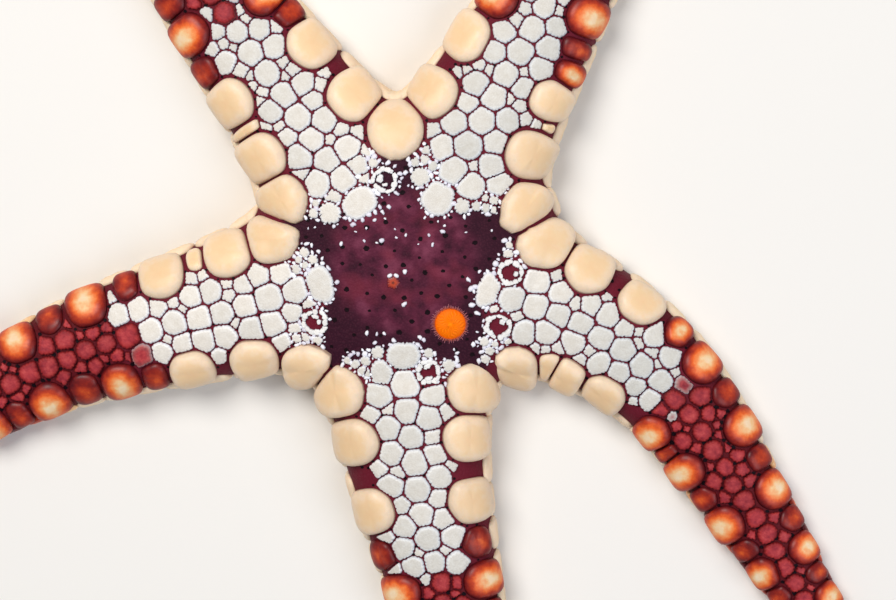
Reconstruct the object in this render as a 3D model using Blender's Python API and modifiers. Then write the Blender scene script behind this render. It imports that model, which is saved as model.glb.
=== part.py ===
"""A pebbled sea star, life size, lying flat on a surface with its five arms spread.

The flesh is a turned disc joined to five tapering, bent arms. Convex marginal plates run round the edge,
large and small by turns, and pebble-like plates stand in rows along the back of each arm. The underside is
flat, with a furrow along each arm that runs to the mouth. Thin cuts part the body into the disc and three
lengths of each arm.

Units are metres, +Z is up, and the origin is under the middle of the rectangle that the star covers.
"""

import math
import random

import bmesh
import bpy
import numpy as np
from mathutils import Matrix, Vector
from mathutils.bvhtree import BVHTree

MM = 0.001

# Driving sizes of the animal
DISC_CENTRE = Vector((5.515, 2.02, 0.0)) * MM
CROTCH_REACH = 11.0 * MM  # disc centre to the angle between two arms
ARM_REACH = 49.0 * MM  # disc centre to an arm's tip, along the arm
DISC_HEIGHT = 5.7 * MM
CUT = 0.3 * MM  # the gap between two named parts

# Half-width of an arm: a straight taper with a flare where it leaves the disc
HALF_WIDTH_AT_10 = 5.3 * MM
TAPER = 0.108
FLARE = 0.85 * MM
FLARE_START = 8.8 * MM
FLARE_LENGTH = 1.3 * MM
ARM_START = 4.0 * MM  # the arms begin inside the disc

# Height of an arm, as a share of its half-width
RIDGE_BASE = 0.2 * MM
RIDGE_SHARE = 0.96
RIDGE_MOST = 5.35 * MM

# Half of an arm's section, from the edge of the flat sole up to the ridge: (share of half-width, of height).
# The first point is below the floor, where the sole is cut.
SECTION = (
    (0.64, -0.10),
    (0.97, 0.12),
    (1.0, 0.36),
    (0.90, 0.66),
    (0.58, 0.91),
    (0.0, 1.0),
)
STATION_STEP = 4.3 * MM

# Turned outline of the disc: (radius, height), down its outer side
DISC_PROFILE = (
    (0.0, 1.0),
    (0.38, 0.985),
    (0.66, 0.93),
    (0.84, 0.82),
    (0.945, 0.62),
    (0.98, 0.38),
    (0.955, 0.15),
    (0.82, -0.06),
    (0.0, -0.06),
)
DISC_STEPS = 20

# The arms, anticlockwise seen from above, starting with the one across from the madreporite: heading at the
# root, heading at the tip, where the bend begins and ends along the arm, and how stout the arm is
ARMS = {
    "a": (126.0, 120.0, 18 * MM, 44 * MM, 0.98),
    "b": (195.5, 212.0, 16 * MM, 36 * MM, 0.98),
    "c": (269.5, 283.0, 3 * MM, 21 * MM, 1.03),
    "d": (341.0, 302.0, 6.7 * MM, 26.7 * MM, 0.92),
    "e": (60.5, 68.0, 12 * MM, 38 * MM, 0.98),
}
PART_STATIONS = {"root": (0.0, 20 * MM), "middle": (20 * MM, 34 * MM), "tip": (34 * MM, 60 * MM)}
REGION_HALF_WIDTH = 9.0 * MM
REGION_HEIGHT = 15.0 * MM
FLAT_ANGLE = math.radians(2)  # triangles that meet flatter than this are joined
SUNK = 0.4 * MM  # bodies go this far below the floor, where one flat cut makes the sole

# Ambulacral furrow under each arm, and the mouth
FURROW_HALF_WIDTH = 0.95 * MM
FURROW_TIP_SHARE = 0.35
FURROW_END = 47.0 * MM
MOUTH_RADIUS = 2.4 * MM
MOUTH_DEPTH = 1.8 * MM
MOUTH_SIDES = 10

# Marginal plates. On each side of an arm they follow a rhythm from the crotch out: L is a large plate, s a small
# one, t a thin sliver, g a bare gap, and x half of the one plate that sits in the crotch itself.
RHYTHM = {  # first plates on the right and on the left of each arm
    "a": ("xLgL", "LLtL"),
    "b": ("LLsL", "LLgL"),
    "c": ("LLgL", "LLgL"),
    "d": ("LsLLgL", "LLtL"),
    "e": ("LLtLssL", "xLgL"),
}
RHYTHM_REST = "sL"
LENGTHS = {  # length of each kind: a base, and a share of the arm's half-width
    "L": (1.90 * MM, 0.28),
    "s": (0.90 * MM, 0.22),
    "t": (0.80 * MM, 0.0),
    "g": (1.05 * MM, 0.0),
    "x": (1.95 * MM, 0.0),
}
MARGIN_WIDTH_SHARE = 0.62  # of the arm's half-width
RIM = 0.22 * MM  # how far the lower margin shows outside the upper plates
PLATE_GAP = 0.28 * MM
PLATE_TILT = math.radians(33)
LARGE_RISE, SMALL_RISE = 0.75 * MM, 0.38 * MM
MARGIN_END = 47.4 * MM
CROTCH_PLATE_REACH = 8.6 * MM
CROTCH_PLATE_SIZE = 1.9 * MM

# Plates of the back, in a row along the ridge and one or two more rows on each side of it
BACK_START = 6.2 * MM
BACK_END = 46.5 * MM
BACK_STEP_BASE, BACK_STEP_SHARE = 1.60 * MM, 0.18
RIDGE_RISE, SIDE_RISE = 0.34 * MM, 0.26 * MM
SIDE_END = 31.0 * MM
ROOT_DEPTH_SHARE = 0.22  # how deep a plate is rooted, as a share of the flesh's height there

# The madreporite, a sieve plate set in a recess of the disc's back: (share of radius, height) of its outline
MADREPORITE_PLACE = Vector((2.9, -4.35, 0.0)) * MM  # from the disc centre
MADREPORITE_RADIUS = 1.1 * MM
MADREPORITE_DEPTH = 1.0 * MM
MADREPORITE_PROFILE = ((0.0, 0.32), (0.45, 0.28), (0.82, 0.14), (1.0, -0.1), (0.94, -1.0), (0.0, -1.0))
MADREPORITE_SIDES = 14

COLOURS = {
    "disc": (0.10, 0.02, 0.05, 1.0),
    "root": (0.80, 0.72, 0.60, 1.0),
    "middle": (0.52, 0.12, 0.06, 1.0),
    "tip": (0.40, 0.05, 0.03, 1.0),
    "madreporite": (0.90, 0.20, 0.01, 1.0),
}

# Levels of a domed plate above its root: (share of its half-size, share of its rise)
ROUNDED = ((1.0, 0.25), (0.70, 0.86))
LOW = ((0.92, 0.6),)

random_draw = random.Random(7)


def smoothstep(x):
    x = min(1.0, max(0.0, x))
    return x * x * (3 - 2 * x)


def tip_rounding(s, length, least):
    """1 along the arm, falling as a quarter circle over its last stretch."""
    left = max(0.0, ARM_REACH - s)
    return 1.0 if left > length else math.sqrt(max(least, 1 - (1 - left / length) ** 2))


class Arm:
    """One arm's bent centre-line on the floor, from the disc centre outwards."""

    STEP = 0.25 * MM

    def __init__(self, name):
        self.name = name
        self.root, self.tip, self.bend_from, self.bend_to, self.stout = ARMS[name]
        points = [DISC_CENTRE.copy()]
        for i in range(int(ARM_REACH / self.STEP) + 8):
            heading = math.radians(self.heading((i + 0.5) * self.STEP))
            points.append(points[-1] + Vector((math.cos(heading), math.sin(heading), 0)) * self.STEP)
        self.points = points

    def heading(self, s):
        share = smoothstep((s - self.bend_from) / (self.bend_to - self.bend_from))
        return self.root + (self.tip - self.root) * share

    def along(self, s):
        heading = math.radians(self.heading(s))
        return Vector((math.cos(heading), math.sin(heading), 0))

    def across(self, s):
        """Unit vector to the arm's left, looking along it from the disc."""
        along = self.along(s)
        return Vector((-along.y, along.x, 0))

    def taper(self, s):
        """Half the arm's width at distance s, without the flare and the rounded tip."""
        return self.stout * (HALF_WIDTH_AT_10 - TAPER * (s - 10 * MM))

    def half_width(self, s):
        flare = FLARE * math.exp(-max(0.0, s - FLARE_START) / FLARE_LENGTH)
        return (self.taper(s) + flare) * tip_rounding(s, 1.5 * MM, 0.06)

    def ridge(self, s):
        """Height of the arm's ridge at distance s; it dips under the disc's dome at the root."""
        dip = 1.0 - 0.2 * smoothstep((9.5 * MM - s) / (5.5 * MM))
        high = min(RIDGE_MOST, RIDGE_BASE + RIDGE_SHARE * self.taper(s))
        return high * dip * tip_rounding(s, 1.2 * MM, 0.12)

    def margin_width(self, s):
        return MARGIN_WIDTH_SHARE * self.taper(s)

    def margin_middle(self, s):
        """How far the middles of the marginal plates lie from the arm's own middle."""
        return self.half_width(s) - RIM - self.margin_width(s) / 2

    def field(self, s):
        """Half the width of the back between the two rows of marginal plates."""
        return self.half_width(s) - RIM - self.margin_width(s)

    def at(self, s, t=0.0):
        place = s / self.STEP
        i = min(len(self.points) - 2, max(0, int(place)))
        return self.points[i].lerp(self.points[i + 1], place - i) + self.across(s) * t


arms = {name: Arm(name) for name in ARMS}
names = list(ARMS)


def crotch_heading(left_of):
    """Heading from the disc centre to the angle on the left of this arm, midway to the next arm."""
    here = ARMS[left_of][0]
    after = ARMS[names[(names.index(left_of) + 1) % len(names)]][0]
    return here + ((after - here) % 360) / 2


def polar(radius, degrees):
    angle = math.radians(degrees)
    return DISC_CENTRE + Vector((math.cos(angle), math.sin(angle), 0)) * radius


def new_object(name, mesh, collection):
    obj = bpy.data.objects.new(name, mesh)
    collection.objects.link(obj)
    return obj


def closed_object(name, bm, collection):
    """An object from a closed mesh, with its faces turned outwards and cut into triangles for the Booleans."""
    bmesh.ops.recalc_face_normals(bm, faces=bm.faces)
    bmesh.ops.triangulate(bm, faces=bm.faces)
    mesh = bpy.data.meshes.new(name)
    bm.to_mesh(mesh)
    bm.free()
    return new_object(name, mesh, collection)


def evaluated_mesh(obj):
    bpy.context.view_layer.update()
    graph = bpy.context.evaluated_depsgraph_get()
    return bpy.data.meshes.new_from_object(obj.evaluated_get(graph))


def apply_modifiers(obj):
    mesh = evaluated_mesh(obj)
    obj.modifiers.clear()
    obj.data = mesh


def boolean(obj, operation, other):
    """Joins, cuts or trims obj by an object or by all the objects of a collection, and applies it."""
    modifier = obj.modifiers.new(operation.lower(), "BOOLEAN")
    modifier.operation = operation
    modifier.solver = "MANIFOLD"
    if isinstance(other, bpy.types.Collection):
        modifier.operand_type = "COLLECTION"
        modifier.collection = other
    else:
        modifier.object = other
    apply_modifiers(obj)


def remove(objects):
    for obj in list(objects):
        bpy.data.objects.remove(obj)


def arm_loft(arm, collection):
    """A closed, tapering body with a flat sole: one section at each station, bridged to the next."""
    stations = list(np.arange(ARM_START, ARM_REACH - 1.5 * MM, STATION_STEP))
    stations += [ARM_REACH - 0.5 * MM, ARM_REACH]
    bm = bmesh.new()
    rings = []
    sunk = SUNK * (1 + 0.1 * names.index(arm.name))
    for s in stations:
        half, high = arm.half_width(s), arm.ridge(s)
        left = [(SECTION[0][0] * half, -sunk)] + [(w * half, h * high) for w, h in SECTION[1:]]
        ring = [(-t, z) for t, z in left] + left[-2::-1]
        rings.append([bm.verts.new(arm.at(s, t) + Vector((0, 0, z))) for t, z in ring])
    for ring, after in zip(rings, rings[1:]):
        for i in range(len(ring)):
            j = (i + 1) % len(ring)
            bm.faces.new((ring[i], ring[j], after[j], after[i]))
    bm.faces.new(rings[0])
    bm.faces.new(rings[-1])
    return closed_object("body of arm " + arm.name, bm, collection)


def turned(name, profile, sides, centre, collection):
    """A closed body from an outline of (radius, height) points, turned about the upright line at centre."""
    mesh = bpy.data.meshes.new(name)
    mesh.from_pydata([(r, 0, z) for r, z in profile], [(i, i + 1) for i in range(len(profile) - 1)], [])
    outline = new_object("outline of " + name, mesh, collection)
    screw = outline.modifiers.new("turn", "SCREW")
    screw.steps = screw.render_steps = sides
    screw.use_merge_vertices = True
    screw.merge_threshold = 0.00001
    bm = bmesh.new()
    bm.from_mesh(evaluated_mesh(outline))
    bmesh.ops.translate(bm, vec=centre, verts=bm.verts)
    remove([outline])
    return closed_object(name, bm, collection)


def turned_disc(collection):
    profile = [(r * CROTCH_REACH, z * DISC_HEIGHT) for r, z in DISC_PROFILE]
    return turned("body of disc", profile, DISC_STEPS, DISC_CENTRE, collection)


def furrow_cutter(arm, collection):
    """A four-sided bar along the arm's centre-line at floor level, thinner towards the tip."""
    curve = bpy.data.curves.new("furrow " + arm.name, "CURVE")
    curve.dimensions = "3D"
    curve.twist_mode = "Z_UP"
    curve.bevel_depth = FURROW_HALF_WIDTH
    curve.bevel_resolution = 0
    curve.use_fill_caps = True
    stops = np.linspace(0.3 * MM, FURROW_END, 14)
    spline = curve.splines.new("POLY")
    spline.points.add(len(stops) - 1)
    for point, s in zip(spline.points, stops):
        point.co = (*arm.at(s), 1.0)
        point.radius = 1 - (1 - FURROW_TIP_SHARE) * (s / FURROW_END)
        point.tilt = 0.0
    obj = new_object("furrow " + arm.name, curve, collection)
    mesh = evaluated_mesh(obj)
    remove([obj])
    bm = bmesh.new()
    bm.from_mesh(mesh)
    bmesh.ops.remove_doubles(bm, verts=bm.verts, dist=0.00001)
    return closed_object("furrow " + arm.name, bm, collection)


def mouth_cutter(collection):
    """A round hollow under the middle of the disc, where the five furrows meet."""
    profile = (
        (0.0, MOUTH_DEPTH),
        (0.45 * MOUTH_RADIUS, 0.9 * MOUTH_DEPTH),
        (MOUTH_RADIUS, -SUNK / 4),
        (0.0, -SUNK / 4),
    )
    return turned("mouth", profile, MOUTH_SIDES, DISC_CENTRE, collection)


def madreporite_seat(tree):
    """The point of the disc's back on which the madreporite is centred."""
    hit, _ = surface_hit(tree, DISC_CENTRE + MADREPORITE_PLACE)
    return hit


def madreporite(seat, collection):
    profile = [(r * MADREPORITE_RADIUS, z * MADREPORITE_DEPTH) for r, z in MADREPORITE_PROFILE]
    return turned("madreporite", profile, MADREPORITE_SIDES, seat, collection)


def madreporite_recess(seat, collection):
    radius = MADREPORITE_RADIUS + CUT
    deep = MADREPORITE_DEPTH + CUT
    profile = ((0.0, MM), (radius, MM), (radius, -deep), (0.0, -deep))
    return turned("madreporite recess", profile, MADREPORITE_SIDES, seat, collection)


def tree_of(obj):
    bm = bmesh.new()
    bm.from_mesh(obj.data)
    tree = BVHTree.FromBMesh(bm)
    bm.free()
    return tree


def surface_hit(tree, point):
    """The highest point of the body's surface above or below this point, and the normal there."""
    hit, normal, _, _ = tree.ray_cast(point + Vector((0, 0, 0.05)), Vector((0, 0, -1)))
    return hit, normal


def plate(origin, x_axis, normal, size, depth, sides, rings, collection):
    """A low domed plate on the surface: its rim, its shoulders and its top, over a root that goes down by depth."""
    z = normal.normalized()
    y = z.cross(x_axis).normalized()
    x = y.cross(z)
    half_long, half_wide, rise = size
    levels = [(0.86, -depth / rise), *rings]
    turn = random_draw.uniform(-0.12, 0.12)
    bm = bmesh.new()
    loops = []
    for share, height in levels:
        loop = []
        for i in range(sides):
            angle = 2 * math.pi * (i + 0.5) / sides + turn
            along, across = math.cos(angle), math.sin(angle)
            square = (abs(along) ** 2.6 + abs(across) ** 2.6) ** (-1 / 2.6)
            offset = x * (along * half_long) + y * (across * half_wide)
            loop.append(bm.verts.new(origin + offset * (square * share) + z * (height * rise)))
        loops.append(loop)
    top = bm.verts.new(origin + z * rise)
    bm.faces.new(loops[0])
    for loop, after in zip(loops, loops[1:]):
        for i in range(sides):
            j = (i + 1) % sides
            bm.faces.new((loop[i], loop[j], after[j], after[i]))
    for i in range(sides):
        bm.faces.new((loops[-1][i], loops[-1][(i + 1) % sides], top))
    closed_object("plate", bm, collection)


def before(name):
    return names[names.index(name) - 1]


def margin_line(arm, side):
    """Where the middles of the marginal plates run on one side: distances along the arm, and points."""
    crotch = math.radians(crotch_heading(arm.name) if side > 0 else crotch_heading(before(arm.name)))
    wall = Vector((-math.sin(crotch), math.cos(crotch), 0)) * -side
    stations, points = [], []
    for s in np.arange(4 * MM, MARGIN_END, 0.1 * MM):
        point = arm.at(s, side * arm.margin_middle(s))
        if (point - DISC_CENTRE).dot(wall) > 0:
            stations.append(s)
            points.append(point)
    return stations, points


def margin_row(arm, side):
    """The marginal plates on one side, from the crotch out: (distance along the arm, length, kind)."""
    stations, points = margin_line(arm, side)
    steps = [(b - a).length for a, b in zip(points, points[1:])]
    travelled = np.concatenate(([0.0], np.cumsum(steps)))
    first = RHYTHM[arm.name][1 if side > 0 else 0]
    reach, row = 0.0, []
    for number in range(60):
        beyond = number - len(first)
        kind = first[number] if beyond < 0 else RHYTHM_REST[beyond % len(RHYTHM_REST)]
        base, share = LENGTHS[kind]
        length = base + share * arm.taper(float(np.interp(reach, travelled, stations)))
        if reach + length > travelled[-1]:
            break
        if kind in "Lst":
            row.append((float(np.interp(reach + length / 2, travelled, stations)), length, kind))
        reach += length
    return row


def add_margin_plates(arm, tree, collection):
    for side in (-1, 1):
        for s, length, kind in margin_row(arm, side):
            wide = arm.margin_width(s) * {"L": 1.0, "s": 0.72, "t": 0.85}[kind]
            rise = LARGE_RISE if kind == "L" else SMALL_RISE
            rise *= 0.55 + 0.45 * arm.taper(s) / (5 * MM)
            hit, _ = surface_hit(tree, arm.at(s, side * arm.margin_middle(s)))
            normal = Vector((0, 0, 1)) * math.cos(PLATE_TILT) + arm.across(s) * (side * math.sin(PLATE_TILT))
            size = ((length - PLATE_GAP) / 2, wide / 2 / math.cos(PLATE_TILT), rise)
            sides, rings = (8, ROUNDED) if kind == "L" else (6, LOW)
            plate(hit, arm.along(s), normal, size, ROOT_DEPTH_SHARE * hit.z, sides, rings, collection)


def back_places(arm):
    """Places of the plates along the back: (s, t, half-length, half-width, rise)."""
    places = []
    s = BACK_START
    while s < BACK_END:
        step = BACK_STEP_BASE + BACK_STEP_SHARE * arm.taper(s)
        places.append((s, 0.0, 0.46 * step, 0.50 * arm.field(s), RIDGE_RISE))
        middle = s + step / 2
        field = arm.field(middle)
        if middle < SIDE_END:
            for side in (-1, 1):
                if field > 2.1 * MM:
                    places.append((middle, side * 0.45 * field, 0.38 * step, 0.20 * field, SIDE_RISE))
                places.append((middle, side * 0.79 * field, 0.38 * step, 0.24 * field, SIDE_RISE))
        s += step
    return places


def add_back_plates(arm, tree, collection):
    for s, t, half_long, half_wide, rise in back_places(arm):
        hit, normal = surface_hit(tree, arm.at(s, t))
        sides = 6 if t == 0.0 else 5
        size = (half_long, half_wide, rise)
        plate(hit, arm.along(s), normal, size, ROOT_DEPTH_SHARE * hit.z, sides, LOW, collection)


def add_tip_plate(arm, tree, collection):
    """The single plate that ends an arm."""
    s = ARM_REACH - 1.15 * MM
    hit, normal = surface_hit(tree, arm.at(s))
    size = (0.8 * MM, 0.85 * MM, 0.35 * MM)
    plate(hit, arm.along(s), normal, size, 0.4 * hit.z, 8, ROUNDED, collection)


def add_crotch_plate(tree, collection):
    """The one plate that sits in the crotch between arms e and a, pushed in towards the disc."""
    heading = crotch_heading("e")
    hit, normal = surface_hit(tree, polar(CROTCH_PLATE_REACH, heading))
    out = (polar(1.0, heading) - DISC_CENTRE).normalized()
    size = (CROTCH_PLATE_SIZE, CROTCH_PLATE_SIZE, LARGE_RISE)
    plate(hit, out, normal + out * 0.3, size, ROOT_DEPTH_SHARE * hit.z, 8, ROUNDED, collection)


def region(name, outline, collection):
    """An upright prism over a flat outline, which trims one named part to its place."""
    bm = bmesh.new()
    face = bm.faces.new([bm.verts.new((p.x, p.y, 0.0)) for p in outline])
    top = bmesh.ops.extrude_face_region(bm, geom=[face])["geom"]
    bmesh.ops.translate(
        bm, vec=(0, 0, REGION_HEIGHT), verts=[v for v in top if isinstance(v, bmesh.types.BMVert)]
    )
    return closed_object(name, bm, collection)


def disc_outline():
    inset = 1 - CUT / 2 / (0.82 * CROTCH_REACH)
    return [polar(CROTCH_REACH * inset, crotch_heading(name)) for name in names]


def arm_outline(arm, part):
    start, end = PART_STATIONS[part]
    half_cut = CUT / 2
    outer = [arm.at(end - half_cut, t * REGION_HALF_WIDTH) for t in (-1, 1)]
    if part != "root":
        inner = [arm.at(start + half_cut, t * REGION_HALF_WIDTH) for t in (1, -1)]
        return outer + inner
    outset = 1 + half_cut / (0.82 * CROTCH_REACH)
    turn = math.degrees(half_cut / CROTCH_REACH)
    left = crotch_heading(arm.name) - turn
    right = crotch_heading(before(arm.name)) + turn
    wide = 14 * MM
    return [
        polar(wide, right),
        *outer,
        polar(wide, left),
        polar(CROTCH_REACH * outset, left),
        polar(CROTCH_REACH * outset, right),
    ]


def keep_largest(obj):
    """Leaves only the largest closed surface, so that no scrap or sealed hollow stays, in as few triangles."""
    bm = bmesh.new()
    bm.from_mesh(obj.data)
    left, groups = set(bm.verts), []
    while left:
        group, edge = set(), [left.pop()]
        while edge:
            vert = edge.pop()
            group.add(vert)
            for link in vert.link_edges:
                other = link.other_vert(vert)
                if other in left:
                    left.discard(other)
                    edge.append(other)
        groups.append(group)
    groups.sort(key=len, reverse=True)
    bmesh.ops.delete(bm, geom=[v for group in groups[1:] for v in group], context="VERTS")
    bmesh.ops.dissolve_limit(bm, angle_limit=FLAT_ANGLE, verts=bm.verts, edges=bm.edges)
    bmesh.ops.triangulate(bm, faces=bm.faces)
    bm.to_mesh(obj.data)
    bm.free()


def paint(obj, key):
    material = bpy.data.materials.get(key) or bpy.data.materials.new(key)
    material.use_nodes = True
    shader = material.node_tree.nodes["Principled BSDF"]
    shader.inputs["Base Color"].default_value = COLOURS[key]
    shader.inputs["Roughness"].default_value = 0.45
    obj.data.materials.clear()
    obj.data.materials.append(material)


def make_core(workshop):
    """The flesh in one piece: disc and arms joined, with the furrows and the mouth cut in its underside."""
    arm_bodies = bpy.data.collections.new("arm bodies")
    workshop.children.link(arm_bodies)
    core = turned_disc(workshop)
    for arm in arms.values():
        arm_loft(arm, arm_bodies)
    boolean(core, "UNION", arm_bodies)
    remove(arm_bodies.objects)
    cutters = bpy.data.collections.new("underside cutters")
    workshop.children.link(cutters)
    for arm in arms.values():
        furrow_cutter(arm, cutters)
    mouth_cutter(cutters)
    boolean(core, "DIFFERENCE", cutters)
    remove(cutters.objects)
    return core


def main():
    remove(bpy.data.objects)
    scene_root = bpy.context.scene.collection
    star = bpy.data.collections.new("sea star")
    workshop = bpy.data.collections.new("workshop")
    scene_root.children.link(star)
    scene_root.children.link(workshop)
    core = make_core(workshop)
    parts = {"disc": ("disc", disc_outline())}
    for arm in arms.values():
        for part in PART_STATIONS:
            parts[f"arm_{arm.name}_{part}"] = (part, arm_outline(arm, part))
    tree = tree_of(core)
    plates = bpy.data.collections.new("plates")
    workshop.children.link(plates)
    for arm in arms.values():
        add_margin_plates(arm, tree, plates)
        add_back_plates(arm, tree, plates)
        add_tip_plate(arm, tree, plates)
    add_crotch_plate(tree, plates)
    boolean(core, "UNION", plates)
    remove(plates.objects)
    seat = madreporite_seat(tree)
    recess = madreporite_recess(seat, workshop)
    boolean(core, "DIFFERENCE", recess)
    remove([recess])
    paint(madreporite(seat, star), "madreporite")
    for name, (kind, outline) in parts.items():
        node = new_object(name, core.data.copy(), star)
        cutter = region("region of " + name, outline, workshop)
        boolean(node, "INTERSECT", cutter)
        remove([cutter])
        keep_largest(node)
        paint(node, kind)
    remove([core])


main()
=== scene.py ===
# %% [markdown]
# A pebbled sea star, dressed as a museum model
# A sea star of this kind is a flat bag of skin, stiffened by many small plates of lime. The plates are what
# one sees: large polished ones round the edge, a cobbled pavement of small ones along the back, and dark
# skin in the joints. So the model is made the way the animal is: one skin first, then each family of plates
# on it.

# %% Load the frame
import functools
import math

import bmesh
import bpy
import numpy as np
from mathutils import Matrix, Vector
from mathutils.bvhtree import BVHTree
from mathutils.kdtree import KDTree


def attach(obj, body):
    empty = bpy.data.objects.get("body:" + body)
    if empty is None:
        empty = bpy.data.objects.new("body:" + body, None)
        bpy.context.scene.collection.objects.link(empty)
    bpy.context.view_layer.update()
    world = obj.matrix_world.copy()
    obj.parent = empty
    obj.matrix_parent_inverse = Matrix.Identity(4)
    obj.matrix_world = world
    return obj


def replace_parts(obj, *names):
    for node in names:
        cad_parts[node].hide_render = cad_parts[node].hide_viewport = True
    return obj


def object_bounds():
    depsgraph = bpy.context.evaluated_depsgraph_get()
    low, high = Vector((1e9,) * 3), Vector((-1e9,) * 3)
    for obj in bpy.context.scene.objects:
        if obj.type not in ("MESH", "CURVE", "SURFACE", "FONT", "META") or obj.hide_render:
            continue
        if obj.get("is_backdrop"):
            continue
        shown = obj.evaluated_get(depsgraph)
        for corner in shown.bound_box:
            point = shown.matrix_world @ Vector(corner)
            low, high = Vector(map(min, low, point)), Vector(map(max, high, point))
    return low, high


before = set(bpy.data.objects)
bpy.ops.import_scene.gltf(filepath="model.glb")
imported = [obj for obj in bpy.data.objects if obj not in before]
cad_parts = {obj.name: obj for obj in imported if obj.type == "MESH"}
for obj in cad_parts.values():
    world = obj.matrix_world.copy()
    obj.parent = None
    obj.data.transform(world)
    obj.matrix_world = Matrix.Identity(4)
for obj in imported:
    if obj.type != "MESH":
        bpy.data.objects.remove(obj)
cad_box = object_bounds()
scene = bpy.context.scene
MM = 0.001
UP, DOWN, EAST = Vector((0, 0, 1)), Vector((0, 0, -1)), Vector((1, 0, 0))
print("nodes in the frame:", len(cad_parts))

# %% [markdown]
# The plan of the body
# The solids were lofted along five bent centre-lines. The same named sizes are repeated here, in metres, so
# that every plate can be placed by how far along an arm it lies (s) and how far to its left (t).

# %% Sizes shared with the solids
DISC_CENTRE = np.array((5.515, 2.02)) * MM
CROTCH_REACH, ARM_REACH, DISC_HEIGHT = 11.0 * MM, 49.0 * MM, 5.7 * MM
HALF_WIDTH_AT_10, TAPER = 5.3 * MM, 0.108
FLARE, FLARE_START, FLARE_LENGTH = 0.85 * MM, 8.8 * MM, 1.3 * MM
RIDGE_BASE, RIDGE_SHARE, RIDGE_MOST = 0.2 * MM, 0.96, 5.35 * MM
RIDGE_DIP, DIP_FROM, DIP_LENGTH = 0.2, 9.5 * MM, 5.5 * MM  # the ridge sinks a little towards the disc
# How a tip is rounded, in width and in height: over what length, and the least that is left, squared
TIP_WIDE, TIP_HIGH = (1.5 * MM, 0.06), (1.2 * MM, 0.12)
ARM_START, STATION_STEP, END_GAP, LAST_GAP = 4.0 * MM, 0.6 * MM, 0.3 * MM, 0.12 * MM
SECTION = ((0.64, -0.10), (0.97, 0.12), (1.0, 0.36), (0.90, 0.66), (0.58, 0.91), (0.0, 1.0))
DISC_PROFILE = (
    (0.0, 1.0), (0.38, 0.985), (0.66, 0.93), (0.84, 0.82), (0.945, 0.62), (0.98, 0.38),
    (0.955, 0.15), (0.82, -0.06),
)
FURROW_RADIUS, FURROW_TIP_SHARE, FURROW_END, FURROW_HEIGHT_SHARE = 1.0 * MM, 0.38, 47.0 * MM, 1.35
MOUTH_RADIUS, MOUTH_DEPTH = 2.3 * MM, 1.9 * MM
ARMS = {  # heading at root and tip in degrees, where the bend begins and ends, stoutness
    "a": (126.0, 120.0, 18 * MM, 44 * MM, 0.98),
    "b": (195.5, 212.0, 16 * MM, 36 * MM, 0.98),
    "c": (269.5, 283.0, 3 * MM, 21 * MM, 1.03),
    "d": (341.0, 302.0, 6.7 * MM, 26.7 * MM, 0.92),
    "e": (60.5, 68.0, 12 * MM, 38 * MM, 0.98),
}
# How far along each arm its back turns from white to red
TURNS_RED = {"a": 20.8 * MM, "b": 19.9 * MM, "c": 22.0 * MM, "d": 21.0 * MM, "e": 21.5 * MM}
LEFT, RIGHT = 1, -1
names = list(ARMS)
print("tip to tip in mm, if the arms were straight:", round(2 * ARM_REACH / MM))


# %% Angles and directions
def full_turn(sides):
    """Evenly spaced angles round a circle."""
    return np.linspace(0, math.tau, sides, endpoint=False)


def ways_at(turns):
    """Unit vectors of the plan at these angles."""
    return np.stack([np.cos(turns), np.sin(turns)], axis=1)


def way_at(turn):
    return np.array((math.cos(turn), math.sin(turn)))


def leftward(way):
    """The same direction of the plan, turned a quarter to the left."""
    return np.array((-way[1], way[0]))


def level(place, z=0.0):
    """A place or direction of the plan as a vector in space."""
    return Vector((*place, z))


def smoothstep(x):
    x = np.clip(x, 0.0, 1.0)
    return x * x * (3 - 2 * x)


def turn_between(heading, other):
    """The angle between two headings, in degrees."""
    return np.abs((heading - other + 180) % 360 - 180)


def crotch_heading(left_of):
    """Heading of the angle on the left of this arm, midway to the next arm."""
    here = ARMS[left_of][0]
    after = ARMS[names[(names.index(left_of) + 1) % len(names)]][0]
    return here + ((after - here) % 360) / 2


def polar(points):
    """Distance of each point from the disc centre, and its heading in degrees."""
    gap = points - DISC_CENTRE
    return np.hypot(gap[..., 0], gap[..., 1]), np.degrees(np.arctan2(gap[..., 1], gap[..., 0]))


def on_disc(x, y):
    """A place of the plan, given in millimetres from the disc centre."""
    return DISC_CENTRE + np.array((x, y)) * MM


print("headings of the five angles:", [crotch_heading(name) % 360 for name in names])


# %% The arms' centre-lines
def tip_rounding(s, length, least):
    left = np.maximum(0.0, ARM_REACH - s)
    return np.where(left > length, 1.0, np.sqrt(np.maximum(least, 1 - (1 - left / length) ** 2)))


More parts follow.
